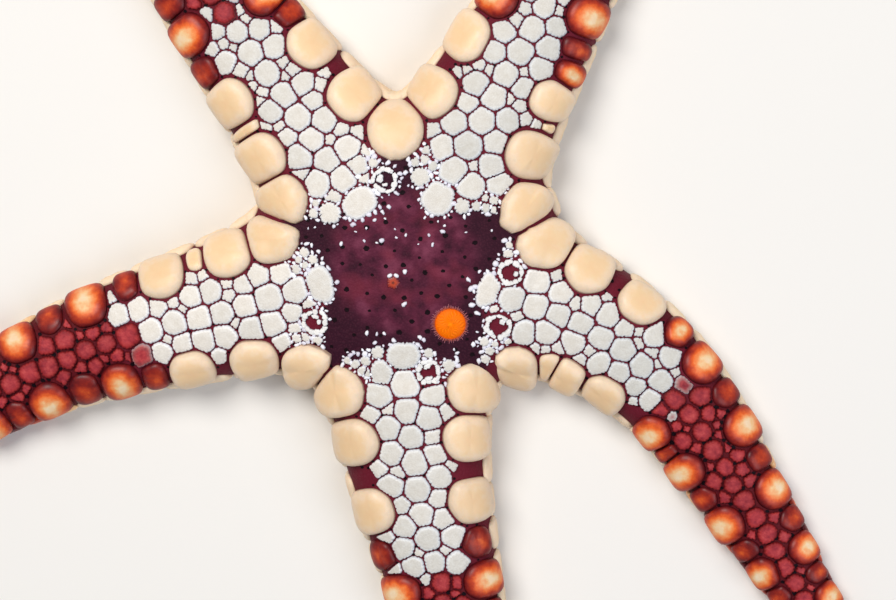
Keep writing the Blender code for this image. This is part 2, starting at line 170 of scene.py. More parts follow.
class Arm:
    """One arm's bent centre-line, seen from above, from the disc centre outwards."""

    STEP, SPARE_STOPS = 0.25 * MM, 9

    def __init__(self, name):
        self.name, self.turns_red = name, TURNS_RED[name]
        self.root, self.tip, self.bend_from, self.bend_to, self.stout = ARMS[name]
        self.stops = np.arange(int(ARM_REACH / self.STEP) + self.SPARE_STOPS) * self.STEP
        turns = np.radians(self.heading(self.stops[:-1] + self.STEP / 2))
        self.line = DISC_CENTRE + np.vstack([np.zeros(2), np.cumsum(ways_at(turns) * self.STEP, axis=0)])

    def heading(self, s):
        bend = smoothstep((s - self.bend_from) / (self.bend_to - self.bend_from))
        return self.root + (self.tip - self.root) * bend

    def along(self, s):
        return way_at(math.radians(float(self.heading(s))))

    def across(self, s):
        """Unit vector to the arm's left, looking along it from the disc."""
        return leftward(self.along(s))

    def at(self, s, t=0.0):
        place = np.array([np.interp(s, self.stops, self.line[:, i]) for i in (0, 1)])
        return place + self.across(s) * t

    def places(self, s, t):
        """The same for many at once."""
        turn = np.radians(self.heading(s))
        spine = np.stack([np.interp(s, self.stops, self.line[:, i]) for i in (0, 1)], axis=1)
        return spine + np.stack([-np.sin(turn), np.cos(turn)], axis=1) * t[:, None]

    def taper(self, s):
        return self.stout * (HALF_WIDTH_AT_10 - TAPER * (s - 10 * MM))

    def half_width(self, s):
        flare = FLARE * np.exp(-np.maximum(0.0, s - FLARE_START) / FLARE_LENGTH)
        return (self.taper(s) + flare) * tip_rounding(s, *TIP_WIDE)

    def ridge(self, s):
        dip = 1.0 - RIDGE_DIP * smoothstep((DIP_FROM - s) / DIP_LENGTH)
        high = np.minimum(RIDGE_MOST, RIDGE_BASE + RIDGE_SHARE * self.taper(s))
        return high * dip * tip_rounding(s, *TIP_HIGH)


arms = {name: Arm(name) for name in names}
NEAR_LINE = slice(8, None, 2)  # of a centre-line: every half millimetre, from 2 mm out


def past_red_turn(points):
    """How far each point of the plan lies past the place where the nearest arm's back turns red."""
    off, past = [], []
    for arm in arms.values():
        gaps = points[:, None, :] - arm.line[None, NEAR_LINE, :]
        near = np.argmin((gaps**2).sum(axis=2), axis=1)
        s = arm.stops[NEAR_LINE][near]
        turn = np.radians(arm.heading(s))
        gap = gaps[np.arange(len(points)), near]
        off.append(np.abs(gap[:, 1] * np.cos(turn) - gap[:, 0] * np.sin(turn)))
        past.append(s - arm.turns_red)
    return np.array(past)[np.argmin(off, axis=0), np.arange(len(points))]


at_20 = {arm.name: round(float(2 * arm.half_width(20 * MM)) / MM, 2) for arm in arms.values()}
print("width of each arm at 20 mm:", at_20)

# %% [markdown]
# The dark star on the disc
# The middle of the back carries a dark purple, five-pointed star of bare skin. Each arm's pale pavement
# pushes into it as a rounded front, and each point of the star runs out to the plates in a crotch. One
# function of direction gives the star's edge, and everything that changes there asks it.

# %% Edge of the dark star
# How far the star reaches, towards each arm and towards the angle on its left
FRONT_AT_ARM = {"a": 3.9 * MM, "b": 4.9 * MM, "c": 5.4 * MM, "d": 5.2 * MM, "e": 3.7 * MM}
FRONT_AT_CROTCH = {"a": 8.4 * MM, "b": 8.9 * MM, "c": 9.2 * MM, "d": 8.6 * MM, "e": 8.6 * MM}
FRONT_CURVE = 1.7  # above 1, a front is rounded and a point of the star is slender


def star_edge(heading):
    """How far the dark star reaches from the disc centre in each direction."""
    heading = np.atleast_1d(heading)
    edge = np.zeros(len(heading))
    for number, name in enumerate(names):
        for side, crotch in ((LEFT, name), (RIGHT, names[number - 1])):
            turn = ((heading - ARMS[name][0]) * side) % 360
            share = turn / turn_between(crotch_heading(crotch), ARMS[name][0])
            reach = FRONT_AT_ARM[name] + (FRONT_AT_CROTCH[crotch] - FRONT_AT_ARM[name]) * share**FRONT_CURVE
            edge = np.where(share <= 1.0, reach, edge)
    return edge


def off_star(place):
    """How far one place lies outside the dark star."""
    distance, heading = polar(place)
    return distance - star_edge(heading)[0]


print("star edge at 90 degrees in mm:", round(float(star_edge(90.0)[0]) / MM, 2))

# %% [markdown]
# One skin
# The flesh has no seams, so it is one mesh. Lofts and a turned disc could be joined by Booleans, but their
# creases would show where an arm leaves the disc. A voxel remesh of the joined bodies, smoothed a little,
# gives the soft shoulders of a real body. It lies a little inside the solids, which leaves room for the
# plates.

# %% Helpers for meshes
SKIN_DEPTH = 0.16 * MM
SOLE_LIFT = 0.34 * MM  # the plates of the underside stand on the floor, and the skin is above them
VOXEL = 0.25 * MM
CORNERS = ((-1, -1), (1, -1), (1, 1), (-1, 1))
workshop = bpy.data.collections.new("workshop")
scene.collection.children.link(workshop)


def add_object(name, data, collection=scene.collection):
    obj = bpy.data.objects.new(name, data)
    collection.objects.link(obj)
    return obj


def smooth_line(points, steps):
    """Points along a curve that passes through all the given ones."""
    p = np.array([points[0], *points, points[-1]], float)
    share = np.linspace(0, 1, steps, endpoint=False)[:, None]
    made = []
    for a, b, c, d in zip(p, p[1:], p[2:], p[3:]):
        bend = (2 * a - 5 * b + 4 * c - d) * share**2 + (3 * b - a - 3 * c + d) * share**3
        made.append(0.5 * (2 * b + (c - a) * share + bend))
    return np.vstack([*made, p[-1:]])


def lofted(name, rings):
    """A closed body through rings of points, with flat ends."""
    bm = bmesh.new()
    loops = [[bm.verts.new(point) for point in ring] for ring in rings]
    for ring, after in zip(loops, loops[1:]):
        for i in range(len(ring)):
            j = (i + 1) % len(ring)
            bm.faces.new((ring[i], ring[j], after[j], after[i]))
    bm.faces.new(loops[0])
    bm.faces.new(loops[-1])
    bmesh.ops.recalc_face_normals(bm, faces=bm.faces)
    bmesh.ops.triangulate(bm, faces=bm.faces)
    mesh = bpy.data.meshes.new(name)
    bm.to_mesh(mesh)
    bm.free()
    return add_object(name, mesh, workshop)


def apply_modifiers(obj):
    bpy.context.view_layer.update()
    graph = bpy.context.evaluated_depsgraph_get()
    mesh = bpy.data.meshes.new_from_object(obj.evaluated_get(graph))
    obj.modifiers.clear()
    obj.data = mesh


def combine(obj, operation, others):
    """Joins obj with the other objects or cuts them from it, and removes them."""
    group = bpy.data.collections.new("others")
    workshop.children.link(group)
    for other in others:
        group.objects.link(other)
    modifier = obj.modifiers.new(operation, "BOOLEAN")
    modifier.operation, modifier.solver = operation, "MANIFOLD"
    modifier.operand_type, modifier.collection = "COLLECTION", group
    apply_modifiers(obj)
    for other in others:
        bpy.data.objects.remove(other)
    bpy.data.collections.remove(group)


print("points on the disc's profile:", len(smooth_line(DISC_PROFILE, 6)))

# %% Bodies of the arms, the disc and the furrows
BURIED = -0.4 * MM  # how low a body's foot goes, before the cut at the sole takes it off


def arm_body(arm):
    whole = smooth_line([*SECTION, *[(-w, h) for w, h in SECTION[-2::-1]]], 6)
    rings = []
    for s in np.append(np.arange(ARM_START, ARM_REACH - END_GAP, STATION_STEP), ARM_REACH - LAST_GAP):
        half = float(arm.half_width(s)) - SKIN_DEPTH
        high = float(arm.ridge(s)) - SKIN_DEPTH
        rings.append([(*arm.at(s, w * half), h * high if h > 0 else BURIED) for w, h in whole])
    return lofted("arm " + arm.name, rings)


def turned_body(name, profile, sides=96):
    rings = []
    for radius, z in profile:
        circle = DISC_CENTRE + max(radius, 0.01 * MM) * ways_at(full_turn(sides))
        rings.append([(x, y, z) for x, y in circle])
    return lofted(name, rings)


def furrow_half(s):
    """Half the width of an arm's furrow."""
    return FURROW_RADIUS * (1 - (1 - FURROW_TIP_SHARE) * s / FURROW_END)


def furrow_body(arm):
    rings = []
    for s in np.linspace(0.2 * MM, FURROW_END, 60):
        radius = furrow_half(s)
        high = FURROW_HEIGHT_SHARE * radius
        rings.append([(*arm.at(s, radius * math.cos(a)), high * math.sin(a)) for a in full_turn(16)])
    return lofted("furrow " + arm.name, rings)


disc_line = [(r * (CROTCH_REACH - SKIN_DEPTH), z * (DISC_HEIGHT - SKIN_DEPTH)) for r, z in DISC_PROFILE]
skin = turned_body("skin", smooth_line(disc_line, 6))
combine(skin, "UNION", [arm_body(arm) for arm in arms.values()])
mouth_turns = np.linspace(-0.3, math.pi / 2, 12)
mouth_line = [(MOUTH_RADIUS * math.cos(a), MOUTH_DEPTH * math.sin(a)) for a in mouth_turns]
below = lofted("below", [[(x * 80 * MM, y * 80 * MM, z) for x, y in CORNERS] for z in (-5 * MM, SOLE_LIFT)])
furrows = [furrow_body(arm) for arm in arms.values()]
combine(skin, "DIFFERENCE", [*furrows, turned_body("mouth", mouth_line), below])
remesh = skin.modifiers.new("one skin", "REMESH")
remesh.mode, remesh.voxel_size = "VOXEL", VOXEL
relax = skin.modifiers.new("soften", "SMOOTH")
relax.factor, relax.iterations = 0.5, 6
apply_modifiers(skin)
skin.data.shade_smooth()
skin_box = [round(v / MM, 1) for v in skin.dimensions]
print("skin faces:", len(skin.data.polygons), "and its box in mm:", skin_box)

# %% [markdown]
# Setting things on the skin
# Every plate is draped: its points are dropped onto the skin along one direction, then lifted along the
# plate's own normal to make a dome. That way a plate follows the body under it, and its root is always
# inside the skin.

# %% Dropping points onto the skin
skin_points = np.empty(len(skin.data.vertices) * 3, np.float32)
skin.data.vertices.foreach_get("co", skin_points)
skin_points = skin_points.reshape(-1, 3).astype(float)
skin_tree = BVHTree.FromPolygons(skin_points.tolist(), [list(face.vertices) for face in skin.data.polygons])


def seat(point, cast=DOWN, back=20 * MM, limit=1.0):
    """Where a ray along cast, from this far back, meets the skin, and the skin's normal there."""
    start, left = Vector(point) - cast * back, limit
    hit, normal, _, gone = skin_tree.ray_cast(start, cast, left)
    while hit is not None and normal.dot(cast) > 0:  # the ray began in a neighbouring arm and is leaving it
        start, left = hit + cast * (0.02 * MM), left - gone
        hit, normal, _, gone = skin_tree.ray_cast(start, cast, max(left, 0.01 * MM))
    if hit is None:
        hit, normal, _, _ = skin_tree.find_nearest(Vector(point))
        hit = Vector(point) + cast * (hit - Vector(point)).dot(cast)
    return hit, normal


def seat_above(place):
    """The skin over a place of the plan."""
    return seat(level(place, 2 * MM))


print("height of the disc's skin in mm:", round(seat_above(DISC_CENTRE)[0].z / MM, 2))


# %% A mesh of many small domes
@functools.lru_cache(maxsize=None)
def dome_faces(rings, sides):
    """Faces between the rings of a dome, with its top as triangles and its root closed."""
    faces = [list(range(sides))[::-1]]
    for k in range(rings - 1):
        for i in range(sides):
            j = (i + 1) % sides
            faces.append([k * sides + i, k * sides + j, (k + 1) * sides + j, (k + 1) * sides + i])
    top = rings * sides
    faces += [[top - sides + i, top - sides + (i + 1) % sides, top] for i in range(sides)]
    return np.array([len(face) for face in faces]), np.concatenate(faces)


def shares(levels, top=0.0):
    """For a finish that changes from root to top: the first number of each level, and one for the top."""
    return np.array([*[level[0] for level in levels], top])


MAP_SPAN = 0.1  # metres of the plan across the whole bake map


class Pebbles:
    """Many small closed shapes that become one mesh, with the values that its material reads."""

    def __init__(self, *values):
        self.points, self.sizes, self.corners, self.map = [], [], [], []
        self.values = {name: [] for name in values}
        self.total = 0

    def add(self, rings, top, place, reach, **values):
        """Rings run from the root to the shoulder; place and reach lay the shape's patch on the bake map.

        A value is one number, or one for each ring and the top, or one for each point."""
        count, sides = rings.shape[:2]
        sizes, corners = dome_faces(count, sides)
        self.points += [rings.reshape(-1, 3), np.reshape(top, (1, 3))]
        self.sizes.append(sizes)
        self.corners.append(corners + self.total)
        round_about = ways_at(full_turn(sides)) * np.reshape(reach, (-1, 1))
        widths = (np.arange(count, 0, -1) / count)[:, None, None]
        self.map += [(place + round_about * widths).reshape(-1, 2), np.reshape(place, (1, 2))]
        made = count * sides + 1
        for name, value in values.items():
            if np.size(value) == count + 1:
                value = np.repeat(value, [sides] * count + [1])
            self.values[name].append(np.broadcast_to(np.asarray(value, float), (made,)))
        self.total += made

    def make(self, name, material, slot):
        points = np.concatenate(self.points).astype(np.float32)
        sizes, corners = np.concatenate(self.sizes), np.concatenate(self.corners)
        mesh = bpy.data.meshes.new(name)
        mesh.vertices.add(len(points))
        mesh.vertices.foreach_set("co", points.ravel())
        mesh.loops.add(len(corners))
        mesh.loops.foreach_set("vertex_index", corners)
        mesh.polygons.add(len(sizes))
        mesh.polygons.foreach_set("loop_start", np.concatenate([[0], np.cumsum(sizes)[:-1]]))
        mesh.update(calc_edges=True)
        mesh.validate()
        for value_name, parts in self.values.items():
            attribute = mesh.attributes.new(value_name, "FLOAT", "POINT")
            attribute.data.foreach_set("value", np.concatenate(parts).astype(np.float32))
        bake_map = mesh.uv_layers.new(name="OFBake")
        laid = (np.concatenate(self.map)[corners] / MAP_SPAN + 0.5).astype(np.float32)
        bake_map.data.foreach_set("uv", laid.ravel())
        mesh.shade_smooth()
        mesh.materials.append(material)
        obj = add_object(name, mesh)
        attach(obj, "root")
        print(f"{name}: {len(self.sizes)} shapes, {int((sizes - 2).sum())} triangles")
        return obj


print("faces on a dome of 9 rings and 40 sides:", len(dome_faces(9, 40)[0]))

# %% [markdown]
# Colours and nodes
# Colours are written as they look on a screen and turned to linear light by one function. One small
# function adds any node, sets it and links it, so that each material below reads as a list of what it is
# made of.

# %% Colour and node helpers
# The output of a node that is used; for a kind that isn't named here, it is the first
HANDS_ON = {"TexCoord": "Object", "Attribute": "Fac", "Mix": 2}
SHARE, LOWER, UPPER = 0, 6, 7  # the inputs of a Mix node for colours
RGBA = {"data_type": "RGBA"}


def colour(code):
    """Linear colour from an sRGB hex value."""
    parts = [int(code[i : i + 2], 16) / 255 for i in (1, 3, 5)]
    return (*[c / 12.92 if c <= 0.04045 else ((c + 0.055) / 1.055) ** 2.4 for c in parts], 1.0)


def fill(tree, made, inputs):
    """Fills a node's inputs by name or number: sockets are linked, and other values are set on the input."""
    for key, value in inputs.items():
        if isinstance(value, bpy.types.NodeSocket):
            tree.links.new(value, made.inputs[key])
        else:
            made.inputs[key].default_value = value


def node(tree, kind, inputs=None, stops=(), **settings):
    """Adds a node and gives back its output in use. Stops fill a ramp: the two ends, then those between."""
    made = tree.nodes.new("ShaderNode" + kind)
    for key, value in settings.items():
        setattr(made, key, value)
    fill(tree, made, inputs or {})
    for number, (position, code) in enumerate(stops):
        elements = made.color_ramp.elements
        element = elements[number] if number < 2 else elements.new(position)
        element.position, element.color = position, colour(code)
    return made.outputs[HANDS_ON.get(kind, 0)]


def new_material(name):
    material = bpy.data.materials.new(name)
    material.use_nodes = True
    tree = material.node_tree
    return material, tree, tree.nodes["Principled BSDF"]


print("ivory in linear light:", [round(c, 3) for c in colour("#F7DDBB")[:3]])

# %% [markdown]
# Skin: wet, thin skin over lime
# What shows in the joints is a thin, moist skin, dark crimson near the disc and darker still towards the
# tips, and on the disc a velvety purple brown, freckled with paler grains. Preserved skin has lost its wet
# shine, so roughness is above middling and the highlight is weak.

# %% Skin finish
FRECKLE = 0.16 * MM  # width of the fine grains in the skin
CLOUD, BLOOM = 1.3 * MM, 2.1 * MM  # how wide the purple clouds and the warmer blooms between them are

SKIN_VALUES = ("dark_star", "far", "star_point_shade")


def skin_finish():
    material, tree, shader = new_material("thin moist skin")
    place = node(tree, "TexCoord")
    dark, far, point = [node(tree, "Attribute", attribute_name=name) for name in SKIN_VALUES]
    clouds = node(tree, "TexNoise", {"Vector": place, "Scale": 1 / CLOUD, "Detail": 4.0})
    blooms = node(tree, "TexNoise", {"Vector": place, "Scale": 1 / BLOOM, "Detail": 2.0})
    grains = node(tree, "TexVoronoi", {"Vector": place, "Scale": 1 / FRECKLE, "Randomness": 1.0})
    groove = node(tree, "ValToRGB", {"Fac": far}, ((0.0, "#641828"), (1.0, "#561018")))
    purple_stops = ((0.32, "#321020"), (0.70, "#74354B"), (0.52, "#551E33"))
    purple = node(tree, "ValToRGB", {"Fac": clouds}, purple_stops)
    bloom = node(tree, "ValToRGB", {"Fac": blooms}, ((0.50, "#000000"), (0.72, "#FFFFFF")))
    blush = node(tree, "Math", {0: bloom, 1: 0.6}, operation="MULTIPLY")
    warm = node(tree, "Mix", {SHARE: blush, LOWER: purple, UPPER: colour("#762838")}, **RGBA)
    # Painted shade: the dark star is darkened further towards its points, from 4 mm out
    shadowed = node(tree, "Mix", {SHARE: point, LOWER: warm, UPPER: colour("#2E0E1E")}, **RGBA)
    mixed = node(tree, "Mix", {SHARE: dark, LOWER: groove, UPPER: shadowed}, **RGBA)
    speck = node(tree, "ValToRGB", {"Fac": grains}, ((0.0, "#FFFFFF"), (0.55, "#000000")))
    amount = node(tree, "Math", {0: speck, 1: 0.10}, operation="MULTIPLY")
    freckled = node(tree, "Mix", {SHARE: amount, LOWER: mixed, UPPER: colour("#8A4458")}, **RGBA)
    bump = node(tree, "Bump", {"Height": grains, "Distance": 0.04 * MM, "Strength": 0.6})
    fill(tree, shader, {"Base Color": freckled, "Normal": bump, "Roughness": 0.6, "Specular IOR Level": 0.10})
    return material


distance, heading = polar(skin_points[:, :2])
on_top = smoothstep((skin_points[:, 2] - 0.9 * MM) / (0.9 * MM))
values = {
    "far": smoothstep((past_red_turn(skin_points[:, :2]) + 1.5 * MM) / (4 * MM)),
    "dark_star": smoothstep((star_edge(heading) + 0.7 * MM - distance) / (0.7 * MM)) * on_top,
    # painted shade towards the star's points
    "star_point_shade": 0.95 * smoothstep((distance - 4.0 * MM) / (1.6 * MM)),
}
for name, value in values.items():
    attribute = skin.data.attributes.new(name, "FLOAT", "POINT")
    attribute.data.foreach_set("value", value.astype(np.float32))
    print(name, "on the skin, on average:", round(float(value.mean()), 3))
skin.data.materials.clear()
skin.data.materials.append(skin_finish())
for collection in list(skin.users_collection):
    collection.objects.unlink(skin)
scene.collection.objects.link(skin)
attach(skin, "root")
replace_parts(skin, *[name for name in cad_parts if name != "madreporite"])

# %% [markdown]
# The upper marginal plates
# Along each edge of an arm runs a row of large domed plates, polished like ivory beads. Near the disc large
# ones follow each other closely, and further out small red ones stand between them. No rule gives the first
# few, so their order, places and sizes are read off the photo, in millimetres; past those, the row goes on
# by rule.

# %% Upper marginal plates: order, places and sizes
# Kind, distance along the arm, length along it, width across it, and for a plate that isn't flush with the
# edge how far its middle lies from the arm's middle. L is large ivory, t a small ivory one, r a small red
# one, h a large one with a pale core in a red halo, and g a gap where only dark skin shows.
UPPER_ROWS = {
    ("a", RIGHT): (
        ("L", 10.9, 3.6, 3.4), ("g", 13.1, 0.6, 1.4, 4.2), ("L", 15.3, 3.5, 2.9, 3.3),
        ("r", 17.9, 1.7, 1.9), ("h", 19.8, 2.6, 3.0),
    ),
    ("a", LEFT): (
        ("L", 8.0, 3.4, 3.5, 4.1), ("L", 11.2, 3.5, 3.4), ("t", 13.2, 0.8, 2.7), ("L", 15.4, 3.2, 3.3),
        ("r", 18.1, 2.0, 1.9), ("h", 20.7, 2.8, 3.0),
    ),
    ("e", LEFT): (
        ("L", 10.7, 3.6, 3.4), ("g", 12.9, 0.7, 1.4, 4.2), ("L", 15.0, 3.6, 2.9, 3.5),
        ("h", 18.3, 2.6, 2.9),
    ),
    ("e", RIGHT): (
        ("L", 7.0, 3.4, 3.4, 5.3), ("L", 10.3, 3.4, 3.4), ("t", 12.4, 0.7, 0.8, 4.0),
        ("L", 14.0, 2.9, 2.9, 3.3), ("h", 16.2, 1.7, 1.9, 3.5), ("r", 17.8, 1.4, 2.0, 3.1),
        ("h", 20.0, 2.8, 2.8, 2.7),
    ),
    ("b", RIGHT): (
        ("L", 8.1, 3.5, 3.4, 3.7), ("L", 11.5, 3.4, 3.1, 3.45), ("t", 13.8, 1.1, 1.4, 3.7),
        ("L", 16.3, 3.3, 2.9, 3.2), ("r", 18.9, 1.7, 1.9, 3.3), ("h", 21.8, 3.1, 2.8, 2.75),
        ("r", 24.5, 1.9, 1.8, 2.8), ("h", 27.1, 2.9, 2.6, 2.15),
    ),
    ("b", LEFT): (
        ("L", 8.4, 3.4, 3.4, 5.2), ("L", 11.8, 3.5, 2.9), ("g", 14.0, 0.7, 1.2, 4.2),
        ("L", 16.1, 3.3, 2.6, 3.3), ("r", 18.8, 1.8, 1.9, 3.1), ("h", 21.3, 2.8, 2.6, 2.7),
        ("r", 24.0, 2.1, 2.2, 2.4), ("h", 26.9, 3.0, 2.5, 2.2),
    ),
    ("c", RIGHT): (
        ("L", 8.7, 3.5, 3.7, 4.5), ("L", 12.0, 3.2, 3.5), ("g", 14.4, 1.1, 1.6, 3.6),
        ("L", 16.7, 3.3, 3.0, 3.3), ("r", 19.8, 2.1, 1.7, 3.4), ("h", 22.6, 2.7, 2.9),
    ),
    ("c", LEFT): (
        ("L", 9.0, 3.4, 3.5, 4.5), ("L", 12.6, 3.3, 3.2), ("g", 15.1, 0.8, 2.0, 3.5),
        ("L", 17.2, 3.2, 2.9, 3.2), ("r", 20.3, 2.1, 1.8, 3.0), ("h", 23.0, 2.6, 2.7),
    ),
    ("d", RIGHT): (
        ("L", 9.6, 3.4, 3.2, 4.5), ("t", 11.9, 1.5, 2.2, 3.6), ("L", 13.6, 2.4, 2.6, 3.6),
        ("L", 17.0, 3.2, 2.4), ("g", 19.7, 1.2, 1.5, 3.0), ("h", 21.9, 2.7, 2.4, 2.6),
        ("r", 23.8, 1.2, 1.6), ("h", 25.6, 2.7, 2.7, 2.3), ("r", 28.0, 1.7, 1.7),
        ("h", 30.3, 2.8, 2.5, 1.9),
    ),
    ("d", LEFT): (
        ("L", 8.4, 3.7, 3.5, 4.1), ("L", 11.6, 3.4, 3.0, 3.45), ("g", 13.5, 0.6, 1.8, 3.6),
        ("L", 15.2, 3.3, 2.5, 3.1), ("h", 18.0, 1.9, 1.8, 3.1), ("h", 20.3, 2.8, 2.5, 2.75),
        ("r", 22.7, 1.8, 1.8, 2.8), ("h", 25.1, 2.8, 2.5, 2.4), ("r", 27.5, 1.7, 1.7, 2.3),
        ("h", 29.9, 2.8, 2.3, 1.9), ("r", 32.4, 1.7, 1.6, 2.0), ("h", 34.6, 2.3, 2.0, 1.6),
    ),
}
# By rule, past the plates of the photo: a base length, what the arm's taper adds to it, and how slim it is
UPPER_RULE = {"r": (0.75 * MM, 0.28, 0.76), "h": (0.95 * MM, 0.58, 1.0)}
CROTCH_PLATE = (8.75 * MM, 4.1 * MM, 4.2 * MM)  # reach, and its size across and along, left of arm e
UPPER_END = 47.6 * MM
GROOVE = 0.13 * MM
EDGE_OUT = {"L": 0.14, "t": -0.1, "r": 0.0, "h": 0.14, "g": 0.0}  # mm past the arm's own edge
UPPER_GROWTH = 1.14  # how far a plate may outgrow its measured size to close up to its neighbours
print("plates read off the photo:", sum(len(row) for row in UPPER_ROWS.values()))


# %% Upper marginal plates: laid out
class Plate:
    """A plate in plan: its place, the way its length runs, its half-sizes, and what else is known of it."""

    out = None  # the way out over the arm's edge, for a plate that lies along it

    def __init__(self, place, along, half_long, half_wide, squareness, growth=1.0, kind="grain", **known):
        self.place, self.along = np.array(place, float), np.array(along, float)
        self.half_long, self.half_wide = half_long, half_wide
        self.squareness, self.growth, self.kind = squareness, growth, kind
        vars(self).update(known)

    def reach(self, turn):
        """How far its own rounded outline reaches in a direction, given as an angle of the plan."""
        own = turn - math.atan2(self.along[1], self.along[0])
        long = np.abs(np.cos(own) / self.half_long) ** self.squareness
        wide = np.abs(np.sin(own) / self.half_wide) ** self.squareness
        return (long + wide) ** (-1 / self.squareness)


def upper_row(arm, side):
    """One row of upper marginal plates, as the photo shows it and then by rule: large and small by turns."""
    row = [(kind, *[size * MM for size in sizes]) for kind, *sizes in UPPER_ROWS[arm.name, side]]
    kind, s, long = row[-1][:3]
    while True:
        kind = "r" if kind == "h" else "h"
        taper = float(arm.taper(s + 2 * MM))
        base, share, slim = UPPER_RULE[kind]
        after = base + share * taper
        s, long = s + (long + after) / 2 + GROOVE, after
        if s > UPPER_END:
            return row
        row.append((kind, s, long, (0.66 * taper + 0.55 * MM) * slim))


uppers = []
for arm in arms.values():
    for side in (LEFT, RIGHT):
        for kind, s, long, wide, *rest in upper_row(arm, side):
            edge = float(arm.half_width(s)) + EDGE_OUT[kind] * MM
            t = rest[0] if rest else edge - wide / 2
            known = {"kind": kind, "arm": arm, "s": s, "out": arm.across(s) * side}
            known["to_edge"] = max(wide / 2, edge - t)
            place, halves = arm.at(s, side * t), (long / 2, wide / 2)
            uppers.append(Plate(place, arm.along(s), *halves, 2.5, UPPER_GROWTH, **known))
crotch_out = way_at(math.radians(crotch_heading("e")))
reach, across, along = CROTCH_PLATE
known = {"kind": "L", "arm": arms["e"], "s": reach, "out": crotch_out, "to_edge": along / 2}
uppers.append(Plate(DISC_CENTRE + crotch_out * reach, crotch_out, along / 2, across / 2, 2.4, 1.04, **known))
print("upper marginal plates:", len(uppers))

# %% [markdown]
# The pavement of the back
# Between the two rows lie the plates of the back. A row of large round ones follows the ridge of each arm,
# and smaller ones are packed on both sides of it, ever smaller in what is left. Packing circles, largest
# first and each into the tightest free place, gives the same scatter of sizes as growth does.

# %% What is read off the photo for the back
LEAD_PLATES = {  # the big plate that leads each arm's front: distance along the arm, half-length, half-width
    "a": (4.9 * MM, 1.0 * MM, 1.3 * MM),
    "b": (5.8 * MM, 0.9 * MM, 1.35 * MM),
    "c": (6.4 * MM, 0.95 * MM, 1.25 * MM),
    "d": (6.0 * MM, 0.75 * MM, 1.3 * MM),
    "e": (4.8 * MM, 1.15 * MM, 1.1 * MM),
}
# Plates worn to a ring of grains round a dark middle: the arm, and x and y from the disc centre in mm
RING_PLATES = (
    ("a", -1.2, 5.4), ("d", 7.1, -0.8), ("d", 6.3, -4.4), ("c", 1.6, -7.5), ("b", -6.0, -4.1)
)
RING_RADIUS = 0.95 * MM
# Beside the star there are patches of nothing but small plates and grains: x and y from the disc centre,
# and the radius, in mm
CLUSTERS = MM * np.array(
    (
        (-5.9, 3.7, 0.7), (6.0, 3.8, 0.6), (7.2, 0.1, 0.8), (5.9, -5.3, 1.0), (-6.8, -5.3, 1.0),
        (-3.1, -6.9, 1.0), (1.9, 6.6, 0.7), (-2.0, 6.6, 0.6), (-6.9, 0.2, 1.0),
    )
)
print("ring plates and patches of small ones:", len(RING_PLATES), len(CLUSTERS))

# %% Ridge row
draw = np.random.default_rng(11)
RIDGE_STEP_BASE, RIDGE_STEP_SHARE, RIDGE_GROWTH = 0.80 * MM, 0.19, 1.6
BACK_END = 47.2 * MM


def ridge_row(arm):
    """The plates along the ridge, from the one that leads the front to the tip."""
    s, half_long, half_wide = LEAD_PLATES[arm.name]
    row = [Plate(arm.at(s), arm.along(s), half_long, half_wide, 2.3, 1.0, "lead", arm=arm, s=s)]
    s += half_long
    while True:
        long = (RIDGE_STEP_BASE + RIDGE_STEP_SHARE * float(arm.taper(s))) * draw.uniform(0.9, 1.1)
        s += long / 2
        if s > BACK_END:
            return row
        wide = long * draw.uniform(0.86, 1.0)
        place = arm.at(s, draw.uniform(-0.12, 0.12) * MM)
        row.append(Plate(place, arm.along(s), long / 2, wide / 2, 2.2, RIDGE_GROWTH, "ridge", arm=arm, s=s))
        s += long / 2


widest_step = RIDGE_STEP_BASE + RIDGE_STEP_SHARE * HALF_WIDTH_AT_10
print("widest step along a ridge in mm:", round(widest_step / MM, 2))

# %% Packed sides
RADII = (0.80, 0.74, 0.68, 0.60, 0.52, 0.43, 0.34, 0.26, 0.19)  # mm, where the arm is at its full width
FULL_TAPER = 5 * MM  # the half-width that counts as full
SMALL, TINY = 0.33 * MM, 0.22 * MM  # in a patch plates are under the first, and elsewhere over the second
# How far a plate may outgrow its circle
GROWTH = {"sole": 1.45, "patch": 1.25, "by the star": 1.2, "back": 2.2}
CANDIDATES = 5000
# In radii: how far circles may overlap before they settle, and how far apart their middles are at least
OVERLAP, APART = 0.14, 1.82


def room_beside(places, plates):
    """How far each place is from the nearest of these plates' outlines."""
    gap = places[:, None, :] - np.array([plate.place for plate in plates])
    turns = np.arctan2(gap[..., 1], gap[..., 0])
    reach = np.stack([plate.reach(turns[:, i]) for i, plate in enumerate(plates)], axis=1)
    return (np.hypot(gap[..., 0], gap[..., 1]) - reach).min(axis=1)


def in_patch(places, margin):
    """Whether each place is in a patch of small plates and grains, or nearer to one than the margin."""
    gap = places[:, None, :] - (DISC_CENTRE + CLUSTERS[:, :2])
    return (np.hypot(gap[..., 0], gap[..., 1]) - CLUSTERS[:, 2]).min(axis=1) < 0.6 * margin


def room_to_grow(place, kind):
    """How far a packed plate may outgrow its size: little where loose grains lie between the plates."""
    if kind == "back" and in_patch(place[None], 0.2 * MM)[0]:
        kind = "patch"
    elif kind == "back" and off_star(place) < 1.3 * MM:
        kind = "by the star"
    return GROWTH[kind]


def spread(places, order, apart):
    """Takes places in order, leaving out any that is nearer than apart to one already taken."""
    apart = np.broadcast_to(apart, len(places))
    taken = []
    for i in order:
        if not taken or np.hypot(*(places[taken] - places[i]).T).min() >= apart[i]:
            taken.append(i)
    return taken


